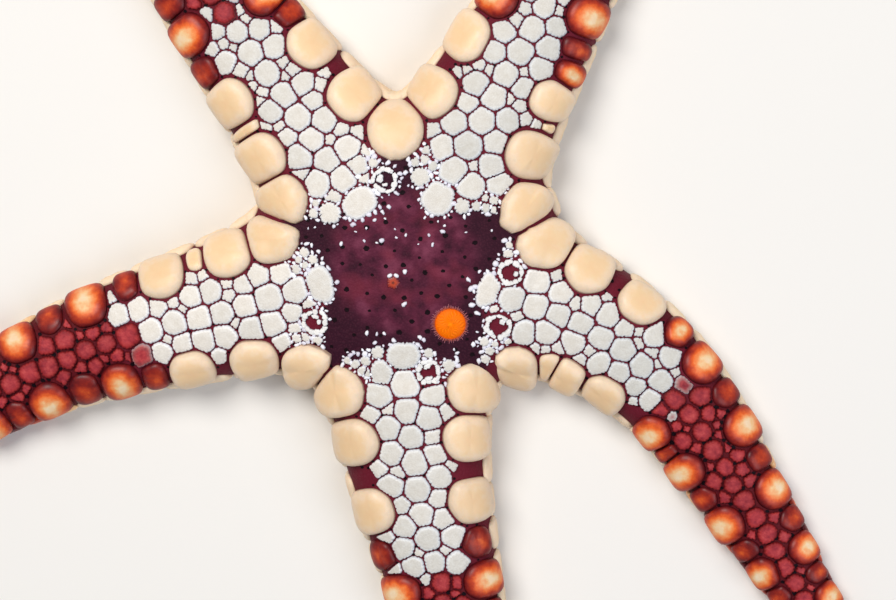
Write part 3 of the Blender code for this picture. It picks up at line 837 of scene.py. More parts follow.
def pack(arm, fixed, radii, start, end, allowed, kind, widen=1.0):
    """Round plates packed between fixed ones on one arm, largest first, each in the tightest free place."""
    made = []
    for radius in radii:
        s = draw.uniform(start, end, CANDIDATES)
        size = radius * MM * (0.58 + 0.42 * arm.taper(s) / FULL_TAPER)
        t = draw.uniform(-widen, widen, CANDIDATES) * arm.half_width(s)
        places = arm.places(s, t)
        keep = allowed(arm, places, s, t, size)
        s, size, places = s[keep], size[keep], places[keep]
        room = room_beside(places, [*fixed, *made]) - size
        order = [i for i in np.argsort(room) if room[i] > -OVERLAP * size[i]]
        for i in spread(places, order, APART * size):
            squash = draw.uniform(0.92, 1.08)
            along = way_at(draw.uniform(0, math.pi))
            halves = size[i] * squash, size[i] / squash
            growth = room_to_grow(places[i], kind)
            made.append(Plate(places[i], along, *halves, 2.2, growth, kind, arm=arm, s=s[i]))
    return made


def in_pale_field(arm, places, s, t, size):
    """Whether a plate of that size would lie in the arm's pale field, clear of the dark star."""
    distance, heading = polar(places)
    own_side = (turn_between(heading, arm.root) < 37) | (distance > CROTCH_REACH)
    clear = distance - size > star_edge(heading) - 0.1 * MM
    fits = np.where(in_patch(places, size), size < SMALL, size > TINY)
    return own_side & clear & fits & (np.abs(t) < arm.half_width(s) - 1.2 * MM - size)


backs = []
for arm in arms.values():
    row = ridge_row(arm)
    row += [Plate(on_disc(x, y), (1, 0), RING_RADIUS, RING_RADIUS, 2.0, 1.0, "ring", arm=arm)
            for name, x, y in RING_PLATES if name == arm.name]
    backs += row + pack(arm, [*uppers, *backs, *row], RADII, 4.5 * MM, BACK_END, in_pale_field, "back")
print("back plates:", len(backs))

# %% [markdown]
# Cells: where neighbouring plates meet
# Real plates grow until they touch, so their outlines are neither circles nor cut polygons. Here each one
# is a soft minimum of its own rounded shape and of a wall halfway to each neighbour, which gives polygons
# with round corners. A few rounds of moving every packed plate to the middle of its cell even them out.

# %% Cells
NEIGHBOURS = 6 * MM  # plates further apart than this can't touch
SHARPNESS = 11  # of the corners where walls meet
RED_SOFTENS = 0.65  # the red plates are rounder, which leaves room for pores in the corners
BACK_GROOVE = 0.10 * MM


def cell_outline(plate, number, plates, tree, sides, sharpness, groove):
    """The plate's outline as reaches round its middle: its own shape, cut back halfway to each neighbour."""
    turns = full_turn(sides)
    if plate.kind in ("ridge", "back") and plate.s > plate.arm.turns_red:
        sharpness = RED_SOFTENS * sharpness

    def wall(turn, away):
        """What a wall that far away in that direction adds to the soft minimum."""
        facing = np.cos(turns - turn)
        return np.where(facing > 0.05, (away / np.maximum(facing, 0.05)) ** -sharpness, 0.0)

    total = (plate.reach(turns) * plate.growth) ** -sharpness
    if plate.out is not None:
        total += wall(math.atan2(plate.out[1], plate.out[0]), plate.to_edge)
    for _, other, apart in tree.find_range(level(plate.place), NEIGHBOURS):
        if other == number or apart < 1e-6:
            continue
        gap = plates[other].place - plate.place
        turn = math.atan2(gap[1], gap[0])
        mine, theirs = plate.reach(turn), plates[other].reach(turn + math.pi)
        halfway = mine + (apart - mine - theirs) / 2
        unfilled = apart - theirs * plates[other].growth  # what the neighbour leaves when fully grown
        total += wall(turn, max(0.08 * MM, halfway - groove / 2, unfilled - groove))
    return total ** (-1 / sharpness)


def outlines_of(plates, sides, sharpness, groove):
    tree = KDTree(len(plates))
    for number, plate in enumerate(plates):
        tree.insert(level(plate.place), number)
    tree.balance()
    return [cell_outline(plate, n, plates, tree, sides, sharpness, groove) for n, plate in enumerate(plates)]


def settle(plates, rounds, groove):
    """Moves each packed plate to the middle of its cell, a few times."""
    ways = ways_at(full_turn(24))
    for _ in range(rounds):
        for plate, outline in zip(plates, outlines_of(plates, 24, 12, groove)):
            if plate.kind == "back":
                middle = (ways * (outline**3)[:, None]).sum(axis=0)
                plate.place = plate.place + 0.6 * middle / (1.5 * (outline**2).sum())


on_back = [*uppers, *backs]
settle(on_back, 6, BACK_GROOVE)
UPPER_SIDES, BACK_SIDES = 40, 56
upper_cells = outlines_of(on_back, UPPER_SIDES, SHARPNESS, GROOVE)[: len(uppers)]
cells = outlines_of(on_back, BACK_SIDES, SHARPNESS, BACK_GROOVE)
back_cells = cells[len(uppers) :]
print("mean plate radius on the back in mm:", round(float(np.mean([cell.mean() for cell in cells])) / MM, 2))

# %% [markdown]
# Ivory plates: lime under a clear skin
# A marginal plate is solid lime, smooth as a worn pebble, under a thin clear skin. That gives a soft, waxy
# glow and a broad highlight: an IOR near 1.5, a middling roughness and a little light that passes under the
# surface. The halo of the outer plates is pigment in that skin, so it is mixed in by a value each plate
# carries.

# %% Ivory finish
IVORY_CLOUD = 0.55 * MM  # how wide the cloudy spots in the lime are
PLATE_VALUES = ("red", "tone", "rim")  # how red, how bright, and how near its rim each point of a plate is


def ivory_finish():
    material, tree, shader = new_material("polished lime plate")
    place = node(tree, "TexCoord")
    red, tone, rim = [node(tree, "Attribute", attribute_name=name) for name in PLATE_VALUES]
    spots = {"Vector": place, "Scale": 1 / IVORY_CLOUD, "Detail": 5.0, "Roughness": 0.6}
    cloud = node(tree, "TexNoise", spots)
    clouded = {"Value": cloud, "From Min": 0.3, "From Max": 0.7}
    shifted = node(tree, "MapRange", {**clouded, "To Min": -0.10, "To Max": 0.10})
    blotch = node(tree, "MapRange", {**clouded, "To Min": -0.2, "To Max": 0.2})
    pigment = node(tree, "Math", {0: red, 1: shifted}, operation="ADD")
    halo_stops = ((0.0, "#F8E6CC"), (1.0, "#5A1018"), (0.20, "#F6CC98"), (0.36, "#F4985A"), (0.51, "#EA6A2C"),
                  (0.67, "#BC3E20"), (0.84, "#88201A"))
    halo_colour = node(tree, "ValToRGB", {"Fac": pigment}, halo_stops)
    ripeness = node(tree, "Math", {0: rim, 1: blotch}, operation="ADD")
    plain_stops = ((0.0, "#F4CFA2"), (1.0, "#EDD4B8"), (0.5, "#F5D4A9"), (0.82, "#F6DCBE"))
    plain = node(tree, "ValToRGB", {"Fac": ripeness}, plain_stops)
    amount = node(tree, "MapRange", {"Value": red, "From Min": 0.02, "From Max": 0.12})
    body = node(tree, "Mix", {SHARE: amount, LOWER: plain, UPPER: halo_colour}, **RGBA)
    # The foot of each plate, where it meets the skin, is darkened towards maroon: partly the skin's colour at
    # the joint, partly painted shade in the groove
    wall = node(tree, "ValToRGB", {"Fac": rim}, ((0.985, "#FFFFFF"), (1.0, "#6A2830")))
    groove_shaded = node(tree, "Mix", {SHARE: 0.6, LOWER: body, UPPER: wall}, **RGBA, blend_type="MULTIPLY")
    toned = node(tree, "HueSaturation", {"Value": tone, "Color": groove_shaded})
    bump = node(tree, "Bump", {"Height": cloud, "Distance": 0.05 * MM, "Strength": 0.25})
    fill(tree, shader, {"Base Color": toned, "Normal": bump, "Roughness": 0.40, "IOR": 1.45})
    fill(tree, shader, {"Specular IOR Level": 0.35, "Subsurface Weight": 0.12, "Subsurface Scale": 1.0})
    fill(tree, shader, {"Subsurface Radius": (0.6 * MM, 0.3 * MM, 0.15 * MM)})
    return material


ivory = ivory_finish()
print("nodes in the ivory finish:", len(ivory.node_tree.nodes))

# %% Domes draped over the back
DOME = (  # share of the outline, share of the rise, from the root to the shoulder
    (0.96, -0.75), (1.0, -0.25), (1.0, 0.06), (0.98, 0.32), (0.92, 0.55),
    (0.83, 0.73), (0.69, 0.87), (0.48, 0.96), (0.25, 0.99),
)
OUTER_BULGE = 0.26 / MM  # how fast a marginal plate curls down over the arm's side


def draped_dome(plate, outline, rise, levels, tilt, follow):
    """Rings of a dome over a plan outline. Follow is how far it takes the skin's form rather than a plane."""
    out = np.zeros(2) if plate.out is None else plate.out
    hit, normal = seat_above(plate.place)
    lean = (normal + UP * tilt).normalized()
    ways = ways_at(full_turn(len(outline)))
    rings = []
    for share, height in levels:
        ring = []
        for x, y in plate.place + ways * (outline * share)[:, None]:
            plane = hit.z - (lean.x * (x - hit.x) + lean.y * (y - hit.y)) / lean.z
            beyond = float(out @ (np.array((x, y)) - plate.place))
            if beyond > 0:
                z = plane - OUTER_BULGE * beyond**2
            else:
                point, _ = seat((x, y, plane))
                z = max(point.z, point.z * follow + plane * (1 - follow))
            ring.append(Vector((x, y, z)) + lean * (height * rise))
        rings.append(ring)
    return np.array(rings, float), np.array(hit + lean * rise)


def halo(rings, plate, core, rim):
    """Redness from a pale core on the plate's outer side to the dark red of its inner side and its rim."""
    flat = np.vstack([rings.reshape(-1, 3)[:, :2], plate.place]) - plate.place
    out = (flat @ plate.out) / plate.half_wide
    along = (flat @ plate.along) / plate.half_long
    away = np.hypot((out - 0.38) / 1.30, along / 1.05)
    return core + (rim - core) * np.clip((away - 0.11) / 0.92, 0, 1)


RISES = {"L": 0.74, "h": 0.68, "t": 0.38, "r": 0.42}  # mm
REDNESS = {"L": (0.0, 0.0), "t": (0.0, 0.0), "r": (0.62, 1.0), "h": (0.05, 1.0)}  # at the core and at the rim
SAW_REACH = 3.6 * MM  # plates this near the star have a fine saw edge towards it
upper_pebbles = Pebbles(*PLATE_VALUES)
for plate, outline in zip(uppers, upper_cells):
    if plate.kind == "g":
        continue
    rise = RISES[plate.kind] * MM * (0.45 + 0.55 * float(plate.arm.taper(plate.s)) / FULL_TAPER)
    if off_star(plate.place) < SAW_REACH:
        facing = np.maximum(0, -np.cos(full_turn(UPPER_SIDES) - math.radians(polar(plate.place)[1])))
        outline = outline - facing * draw.uniform(-0.05, 0.09, UPPER_SIDES) * MM
    rings, top = draped_dome(plate, outline, rise, DOME, 0.35, 0.55)
    red = halo(rings, plate, *REDNESS[plate.kind])
    tone = draw.uniform(0.86, 0.96)
    upper_pebbles.add(rings, top, plate.place, outline, red=red, tone=tone, rim=shares(DOME))
upper_pebbles.make("upper_marginal_plates", ivory, "arm_base")

# %% [markdown]
# Bone-white plates of the back
# These are lime too, but each carries a crust of grains as fine as salt, so they look chalky: white with a
# cool edge, and without the ivory plates' shine. Past the colour change the same plates are brick red.

# %% Back plate finish
GRAIN = 0.13 * MM  # the grains are about half of this; coarser, they still show from the camera
CHALK_CLOUD = 0.4 * MM


def crusted_finish():
    material, tree, shader = new_material("grain-crusted lime plate")
    place = node(tree, "TexCoord")
    red, tone, rim = [node(tree, "Attribute", attribute_name=name) for name in PLATE_VALUES]
    grains = node(tree, "TexVoronoi", {"Vector": place, "Scale": 1 / GRAIN, "Randomness": 0.9})
    cloud = node(tree, "TexNoise", {"Vector": place, "Scale": 1 / CHALK_CLOUD, "Detail": 3.0})
    white = node(tree, "ValToRGB", {"Fac": cloud}, ((0.3, "#EEEBE6"), (0.8, "#FBFBFA"), (0.55, "#F4F2EF")))
    brick = node(tree, "ValToRGB", {"Fac": cloud}, ((0.3, "#8E2230"), (0.8, "#C8504E"), (0.55, "#B0383E")))
    body = node(tree, "Mix", {SHARE: red, LOWER: white, UPPER: brick}, **RGBA)
    # Painted shade: the dips between the grains of the crust are darkened a little
    dips = node(tree, "ValToRGB", {"Fac": grains}, ((0.2, "#FFFFFF"), (0.85, "#A89890")))
    body_with_dip_shade = node(tree, "Mix", {SHARE: 0.11, LOWER: body, UPPER: dips}, **RGBA, blend_type="MULTIPLY")
    # At 1, the foot of the plate, both edge ramps turn dark maroon: partly the skin's colour at the joint,
    # partly painted shade in the groove
    white_stops = ((0.0, "#F0EBE3"), (1.0, "#6A2032"), (0.58, "#F0ECE6"), (0.72, "#FFFFFF"),
                   (0.93, "#F0F4FF"))
    white_edge = node(tree, "ValToRGB", {"Fac": rim}, white_stops)
    brick_stops = ((0.3, "#FFFFFF"), (1.0, "#6E2C3A"), (0.62, "#EAC0BC"), (0.9, "#AC6C72"))
    brick_edge = node(tree, "ValToRGB", {"Fac": rim}, brick_stops)
    edge = node(tree, "Mix", {SHARE: red, LOWER: white_edge, UPPER: brick_edge}, **RGBA)
    groove_shaded = node(tree, "Mix", {SHARE: 0.94, LOWER: body_with_dip_shade, UPPER: edge}, **RGBA, blend_type="MULTIPLY")
    # Painted light falloff: a lower tone darkens and cools the white plates; on red plates the tone is random
    cool = node(tree, "ValToRGB", {"Fac": tone}, ((0.70, "#E0E5E8"), (1.0, "#FFFFFF")))
    toned = node(tree, "Mix", {SHARE: 1.0, LOWER: groove_shaded, UPPER: cool}, **RGBA, blend_type="MULTIPLY")
    bump = node(tree, "Bump", {"Height": grains, "Distance": 0.05 * MM, "Strength": 0.4}, invert=True)
    fill(tree, shader, {"Base Color": toned, "Normal": bump, "Roughness": 0.6, "Specular IOR Level": 0.25})
    return material


crusted = crusted_finish()
print("nodes in the crusted finish:", len(crusted.node_tree.nodes))

# %% Back plates, knobbed or worn to a ring
COBBLE = ((0.95, -1.4), (1.0, -0.4), (1.0, 0.25), (0.965, 0.62), (0.89, 0.86), (0.76, 1.0), (0.45, 0.98))
# For the finish, ring by ring and at the top: the root's wall is 1 and the bright rim about 0.8
COBBLE_RIM = np.array((1.0, 1.0, 0.97, 0.86, 0.76, 0.60, 0.3, 0.0))
BACK_RISE = 0.26 * MM
# Painted light falloff: the white plates are painted darker away from the light, arm by arm and along each
# arm
BACK_PAINTED_FALLOFF = {  # how bright each arm's white plates are beside the star and at the colour change
    "a": (0.94, 0.80), "b": (0.95, 0.95), "c": (0.88, 0.84), "d": (0.94, 0.74), "e": (0.84, 0.78)
}
KNOB, RING_GRAIN = 0.28 * MM, 0.34 * MM  # spacing of the knobs on a plate's rim, and of a worn ring's grains
BRIGHT_RIM = 0.74  # what a ring's grains take from the finish


def knobbed(outline, depth):
    """The outline with small uneven knobs, of one spacing for all plates, and how deep each notch is."""
    turns = full_turn(len(outline))
    count = max(5, round(math.tau * outline.mean() / KNOB))
    wander = 0.7 * np.sin(2 * turns + draw.uniform(0, 6)) + 0.5 * np.sin(3 * turns + draw.uniform(0, 6))
    notch = (0.5 - 0.5 * np.cos(count * turns + wander)) ** 2
    return outline + (0.35 - notch * (0.7 + 0.6 * np.sin(5 * turns + draw.uniform(0, 6)))) * depth, notch


def ring_of_grains(outline):
    """Where a worn plate's grains stand: along its outline, with a gap here and there, and a few inside."""
    count = round(math.tau * 0.8 * float(outline.mean()) / RING_GRAIN)
    grid = np.linspace(0, math.tau, len(outline) + 1)
    for turn in full_turn(count) + draw.uniform(-0.14, 0.14, count):
        reach = float(np.interp(turn % math.tau, grid, np.append(outline, outline[0])))
        if draw.uniform(0, 1) < 0.96:
            yield reach * draw.uniform(0.74, 0.87), turn
    for turn in draw.uniform(0, math.tau, draw.integers(1, 4)):
        yield float(outline.mean()) * draw.uniform(0.25, 0.55), turn


by_arm = {name: Pebbles(*PLATE_VALUES) for name in names}
for plate, outline in zip(backs, back_cells):
    pebbles = by_arm[plate.arm.name]
    if outline.mean() < 0.17 * MM:
        continue
    if plate.kind == "ring":
        for reach, turn in ring_of_grains(outline):
            place = plate.place + way_at(turn) * reach
            long, wide = draw.uniform(0.18, 0.31) * MM, draw.uniform(0.12, 0.22) * MM
            grain = Plate(place, leftward(way_at(turn)), long, wide, 2.3)
            own = grain.reach(full_turn(16)) * draw.uniform(0.78, 1.16, 16)
            rings, top = draped_dome(grain, own, BACK_RISE * draw.uniform(0.6, 0.95), COBBLE, 0.0, 1.0)
            rim = np.maximum(COBBLE_RIM, BRIGHT_RIM)
            pebbles.add(rings, top, place, own, red=0.0, tone=draw.uniform(0.88, 1.0), rim=rim)
        continue
    beside_star = float(smoothstep(1 - off_star(plate.place) / (3.2 * MM)))
    outline, notch = knobbed(outline, min((0.055 + 0.09 * beside_star) * MM, 0.2 * outline.mean()))
    turns_red = plate.arm.turns_red
    turned = float(smoothstep((plate.s + draw.uniform(-0.9, 0.9) * MM - turns_red) / (0.9 * MM) + 0.5))
    rise = BACK_RISE * (0.6 + 0.4 * min(1.0, outline.mean() / (0.7 * MM)))
    rings, top = draped_dome(plate, outline, rise, COBBLE, 0.0, 0.85)
    rings[2:5, :, 2] -= notch * np.array((0.03, 0.06, 0.03))[:, None] * MM
    # Painted light falloff along the arm, with a little random tone added
    painted_falloff = np.interp(plate.s, (7 * MM, turns_red), BACK_PAINTED_FALLOFF[plate.arm.name])
    tone = float(painted_falloff + draw.uniform(-0.06, 0.05))
    tone = tone if turned < 0.5 else draw.uniform(0.80, 1.0)
    reddened = smoothstep((turned * (1.9 - 1.1 * COBBLE_RIM) - 0.3) / 0.5)  # from the plate's middle outwards
    red = 1.0 if turned > 0.95 else reddened
    pebbles.add(rings, top, plate.place, outline, red=red, tone=tone, rim=COBBLE_RIM)
for name, pebbles in by_arm.items():
    pebbles.make("back_plates_" + name, crusted, "arm_base")

# %% [markdown]
# Grains and pores
# Where the pavement meets the dark star it breaks up into loose white grains, and in the corners between
# plates and all over the star are the dark pores of the skin gills. Both need to know how much room is left
# beside the plates already laid, so one function measures that. Grains hug the white plates, and pores take
# the emptiest places.

# %% Room between the plates
TRIES, FIELD = 26000, 10.5 * MM  # places tried over the disc, and half the side of the square they lie in
ANUS_PLACE, MADREPORITE_PLACE = on_disc(-0.68, -1.43), on_disc(3.12, -4.2)
STRAY_PLACE = on_disc(-1.3, 2.3)  # a loose chain of grains lies out in the star here


def room_round(places, plates, outlines):
    """How far each place is from the nearest plate's outline, as cut back to its cell."""
    least = np.full(len(places), 1.0)
    grid = np.linspace(0, math.tau, len(outlines[0]) + 1)
    for plate, outline in zip(plates, outlines):
        gap = places - plate.place
        turns = np.arctan2(gap[:, 1], gap[:, 0]) % math.tau
        reach = np.interp(turns, grid, np.append(outline, outline[0]))
        least = np.minimum(least, np.hypot(gap[:, 0], gap[:, 1]) - reach)
    return least


def near(places, middle, radius):
    return np.hypot(*(places - middle).T) < radius


star_places = DISC_CENTRE + draw.uniform(-1, 1, (TRIES, 2)) * FIELD
distance, heading = polar(star_places)
into_star = star_edge(heading) - distance
white_room = room_round(star_places, backs, back_cells)
ivory_room = room_round(star_places, uppers, cells[: len(uppers)])
room = np.minimum(white_room, ivory_room)
covered = near(star_places, MADREPORITE_PLACE, 1.5 * MM) | near(star_places, ANUS_PLACE, 0.8 * MM)
print("share of the disc that is free skin:", round(float(((room > 0) & (distance < 10 * MM)).mean()), 3))


# %% Grains
# A grain is a bead of bare lime, so it is the whitest thing on the animal, and only a little glossy
def grain_finish():
    material, tree, shader = new_material("lime grain")
    tone = node(tree, "Attribute", attribute_name="tone")
    tint = node(tree, "ValToRGB", {"Fac": tone}, ((0.0, "#C4B2C2"), (1.0, "#F8F9FF"), (0.35, "#E0DEEA")))
    fill(tree, shader, {"Base Color": tint, "Roughness": 0.5, "Specular IOR Level": 0.3})
    return material


FLAT_DOME = ((0.9, -1.2), (1.0, 0.1), (0.85, 0.62), (0.5, 0.93))


def set_dome(place, along, normal, outline, rise, levels, cast):
    """Rings of a dome set on the skin: its outline lies across the cast, and it rises along its normal."""
    along = along.normalized()
    side = normal.cross(along).normalized()
    rings = []
    for share, height in levels:
        ring = []
        for turn, reach in zip(full_turn(len(outline)), outline):
            offset = (along * math.cos(turn) + side * math.sin(turn)) * (reach * share)
            ring.append(seat(level(place) + offset, cast)[0] + normal * (height * rise))
        rings.append(ring)
    return np.array(rings, float), np.array(seat(level(place), cast)[0] + normal * rise)


def rounded(half_long, half_wide, squareness, sides):
    """Reaches of a superellipse round its middle."""
    turns = full_turn(sides)
    long, wide = np.abs(np.cos(turns) / half_long), np.abs(np.sin(turns) / half_wide)
    return (long**squareness + wide**squareness) ** (-1 / squareness)


beside = np.exp(-(((room - 0.12 * MM) / (0.09 * MM)) ** 2)) * (into_star > -2.4 * MM)
patchy = 0.5 + 0.5 * np.sin(star_places[:, 0] / (0.31 * MM)) * np.sin(star_places[:, 1] / (0.27 * MM) + 2)
chances = (
    beside * (0.10 + 0.8 * patchy),  # in broken chains round the plates
    np.where(into_star > 0.6 * MM, 0.004, 0.0),  # a few alone in the star
    np.where(in_patch(star_places, 0.3 * MM) & (room < 0.5 * MM), 0.75, 0.0),  # thick in the patches
    np.where(near(star_places, STRAY_PLACE, 1.3 * MM), 0.03, 0.0),  # in the loose chain
    np.where(into_star > 0.0, 0.06 * np.exp(-room / (0.45 * MM)), 0.0),  # straggling off the fronts
)
likely = draw.uniform(0, 1, TRIES) < np.maximum.reduce(chances)
bare = (ivory_room < 0.3 * MM) & (white_room > 0.3 * MM)  # the ivory plates' own grooves hold no grains
likely &= (room > 0.01 * MM) & (distance < 10 * MM) & ~bare & ~covered
grains = Pebbles("tone")
for place in star_places[spread(star_places, np.nonzero(likely)[0], 0.25 * MM)]:
    long = draw.uniform(0.30, 0.51) ** 2 * MM
    along = level(way_at(draw.uniform(0, math.pi)))
    outline = rounded(long, long * draw.uniform(0.5, 0.8), 2.3, 9) * draw.uniform(0.75, 1.2, 9)
    rings, top = set_dome(place, along, UP, outline, 0.8 * long, FLAT_DOME, DOWN)
    grains.add(rings, top, place, outline, tone=draw.uniform(0.25, 1.0))
for side in (LEFT, RIGHT):  # two grains stand beside the anus
    place = ANUS_PLACE + np.array((-0.22 * side, 0.48)) * MM
    outline = rounded(0.20 * MM, 0.13 * MM, 2.2, 10)
    rings, top = set_dome(place, Vector((1, 0.6 * side, 0)), UP, outline, 0.16 * MM, FLAT_DOME, DOWN)
    grains.add(rings, top, place, outline, tone=0.8)
grains.make("loose_grains", grain_finish(), "disc")

# %% [markdown]
# Skin gills
# Each pore holds a tiny gill that is drawn in, so from outside it is a dark dimple with a soft rim. A hole
# in the skin mesh would be finer than its voxels; a flat-topped dimple of dark skin on top of it reads the
# same. Its near-black colour is partly the gill's own and partly painted shade of the hole.

# %% Pores
DIMPLE = ((1.0, -0.06 * MM), (0.95, 0.015 * MM), (0.75, 0.022 * MM), (0.5, 0.012 * MM))
DIMPLE_TOP = 0.010 * MM
PORE_SIZES = {"star": (0.12, 0.22), "white": (0.08, 0.13), "red": (0.14, 0.20)}  # mm
PORE_GAP, STAR_PORE_GAP = 0.38 * MM, 1.02 * MM


def pore_finish():
    material, tree, shader = new_material("gill with painted pore shade")
    rim = node(tree, "Attribute", attribute_name="rim")
    # Near-black: partly the gill's own colour, partly painted shade inside the pore
    body = node(tree, "ValToRGB", {"Fac": rim}, ((0.80, "#12030A"), (1.0, "#381222")))
    fill(tree, shader, {"Base Color": body, "Roughness": 0.6, "Specular IOR Level": 0.1})
    return material


def scattered(count, arm, start, end, side_margin):
    """Random places on an arm between two distances along it."""
    s = draw.uniform(start, end, count)
    return arm.places(s, draw.uniform(-1, 1, count) * (arm.half_width(s) - side_margin))


corners = np.vstack([scattered(7000, arm, 4 * MM, 46.5 * MM, 1.0 * MM) for arm in arms.values()])
corner_room = room_round(corners, on_back, cells)
distance, heading = polar(corners)
free = (corner_room > 0.07 * MM) & (distance > star_edge(heading))
order = np.argsort(-corner_room)
corners = corners[spread(corners, order[free[order]], PORE_GAP)]
inside = (into_star > 0.5 * MM) & (room > 0.25 * MM) & ~covered
star_pores = star_places[spread(star_places, np.nonzero(inside)[0], STAR_PORE_GAP)]
fields = [*np.where(past_red_turn(corners) > 0, "red", "white"), *["star"] * len(star_pores)]
pores = Pebbles("rim")
for place, field in zip(np.vstack([corners, star_pores]), fields):
    size = draw.uniform(*PORE_SIZES[field]) * MM
    outline = rounded(size, size * draw.uniform(0.75, 1), 2.0, 12) * draw.uniform(0.78, 1.14, 12)
    rings, _ = set_dome(place, EAST, UP, outline, 1.0, DIMPLE, DOWN)
    pores.add(rings, np.array(seat_above(place)[0] + UP * DIMPLE_TOP), place, outline, rim=shares(DIMPLE))
pores.make("gills_and_painted_pore_shade", pore_finish(), "disc")

# %% [markdown]
# The anus
# A small orange star of membrane just off the disc's middle, dark in its own middle, which is painted shade
# of the opening. It is a low pebble with a pleated outline, coloured ring by ring, because at this size folds
# would be finer than a pixel.


# %% Anus
def anus_finish():
    material, tree, shader = new_material("orange membrane")
    rim = node(tree, "Attribute", attribute_name="rim")
    # The near-black middle is painted shade of the opening
    stops = ((0.0, "#3A0A08"), (1.0, "#6A1C2C"), (0.3, "#B43C1A"), (0.7, "#8C281C"))
    fill(tree, shader, {"Base Color": node(tree, "ValToRGB", {"Fac": rim}, stops), "Roughness": 0.4})
    return material


opening = Pebbles("rim")
turns = full_turn(40)
outline = (0.42 + 0.04 * np.cos(5 * turns) + 0.05 * np.cos(13 * turns)) * MM
rings, top = set_dome(ANUS_PLACE, EAST, UP, outline, 0.05 * MM, FLAT_DOME, DOWN)
opening.add(rings, top, ANUS_PLACE, outline, rim=(1.0, 1.0, 0.8, 0.4, 0.0))
opening.make("anus", anus_finish(), "disc")

# %% [markdown]
# The lower marginal plates
# A second row of plates lines each arm's side under the first and bends round onto the sole. From above
# only slivers of it show, but it makes the star's outline and its side view. So the rays that set one of
# these come in like the spokes of a wheel, towards a line that runs inside the arm's lower edge.

# %% Lower marginal plates
LOWER_START, LOWER_END = 8.7 * MM, 47.4 * MM
PALE_BELOW = 6 * MM  # how much further out than the back the lower side stays pale, as the slivers of it show
SIDE_DOME = ((0.95, -0.9), (1.0, -0.1), (0.98, 0.3), (0.90, 0.6), (0.75, 0.83), (0.45, 0.97))
SWEEP_MIDDLE, SWEEP_HALF = math.radians(-22), math.radians(64)  # from the wall's upper half round to the sole
FLOOR_GAP = 0.03 * MM
lowers = Pebbles(*PLATE_VALUES)
lower_feet = []  # what the lower plates take up of the sole


def hub(high):
    """How far inside the wall, and how high, the line lies that the spokes run to."""
    return max(0.30 * high, 0.45 * MM), max(0.36 * high, 0.60 * MM)


def wrapped_dome(origin, along, out, high, half_long, rise):
    """Rings of a dome that bends from the side wall round onto the sole."""
    inset, lift = hub(high)
    centre = level(origin - out * inset, lift)
    back = 1.4 * inset + 1.0 * MM
    along, out = level(along), level(out)
    outline = rounded(half_long, SWEEP_HALF * MM, 3.6, 28)
    rings = []
    for share, height in (*SIDE_DOME, (0.0, 1.0)):
        ring = []
        for turn, reach in zip(full_turn(len(outline)), outline):
            sweep = SWEEP_MIDDLE + math.sin(turn) * reach * share / MM
            spoke = out * math.cos(sweep) + UP * math.sin(sweep)
            point, _ = seat(centre + along * (math.cos(turn) * reach * share), -spoke, back, back)
            ring.append(point + spoke * (height * rise * (1 - 0.35 * max(0.0, -spoke.z))))
        rings.append(ring)
    rings = np.array(rings, float)
    rings[..., 2] = np.maximum(rings[..., 2], FLOOR_GAP)
    return rings[:-1], rings[-1].mean(axis=0), outline


def lower_plate(origin, along, out, high, long, turned, haloed):
    rise = (0.16 + 0.05 * high / MM) * MM
    rings, top, outline = wrapped_dome(origin, along, out, high, long / 2 - GROOVE / 2, rise)
    away = np.linalg.norm(np.vstack([rings.reshape(-1, 3), top]) - top, axis=1) / (long / 2)
    red = turned * ((0.25 if haloed else 0.6) + 0.55 * smoothstep((away - 0.2) / 0.8)) + 0.05 * (1 - turned)
    lowers.add(rings, top, origin, outline, red=red, tone=draw.uniform(0.95, 1.03), rim=shares(SIDE_DOME))
    foot = origin - out * (hub(high)[0] - 0.6 * MM)
    lower_feet.append(Plate(foot, along, long / 2, 0.4 * MM, 4.0, 1.0, "foot"))


for arm in arms.values():
    for side in (LEFT, RIGHT):
        s, number = LOWER_START, 0
        while s < LOWER_END:
            long = 1.05 * MM + 0.30 * float(arm.taper(s))
            middle = s + long / 2
            origin = arm.at(middle, side * float(arm.half_width(middle)))
            turned = float(smoothstep((middle - arm.turns_red - PALE_BELOW) / (3 * MM)))
            out, high = arm.across(middle) * side, float(arm.ridge(middle))
            lower_plate(origin, arm.along(middle), out, high, long, turned, number % 2 == 0)
            s, number = s + long, number + 1
for name, after in zip(names, names[1:] + names[:1]):  # one more in each angle, where two arms' rows meet
    ends = [arms[n].at(LOWER_START, side * float(arms[n].half_width(LOWER_START)))
            for n, side in ((name, LEFT), (after, RIGHT))]
    gap = float(np.hypot(*(ends[0] - ends[1])))
    print("gap between the rows left of arm", name, "in mm:", round(gap / MM, 2))
    if gap > 0.7 * MM:
        out = way_at(math.radians(crotch_heading(name)))
        long = max(gap + 0.3 * MM, 1.6 * MM)
        origin = DISC_CENTRE + out * CROTCH_REACH
        lower_plate(origin, leftward(out), out, 0.95 * DISC_HEIGHT, long, 0.0, False)
lowers.make("lower_marginal_plates", ivory, "arm_base")

# %% [markdown]
# The tip plates
# One cap of lime closes each arm, over the end of its ridge. It is a dome like the others, leaning
# outwards.

# %% Tip plates
tips = Pebbles(*PLATE_VALUES)
for arm in arms.values():
    s = ARM_REACH - 0.95 * MM
    outline = rounded(0.85 * MM, 0.95 * MM, 2.3, 36)
    lean = (UP + level(arm.along(s)) * 0.35).normalized()
    rings, top = set_dome(arm.at(s), level(arm.along(s)), lean, outline, 0.45 * MM, SIDE_DOME, DOWN)
    rings[..., 2] = np.maximum(rings[..., 2], FLOOR_GAP)
    rim = shares(SIDE_DOME)
    tips.add(rings, top, arm.at(s), outline, red=0.62 + 0.25 * rim, tone=1.0, rim=rim)
tips.make("tip_plates", ivory, "arm_outer")

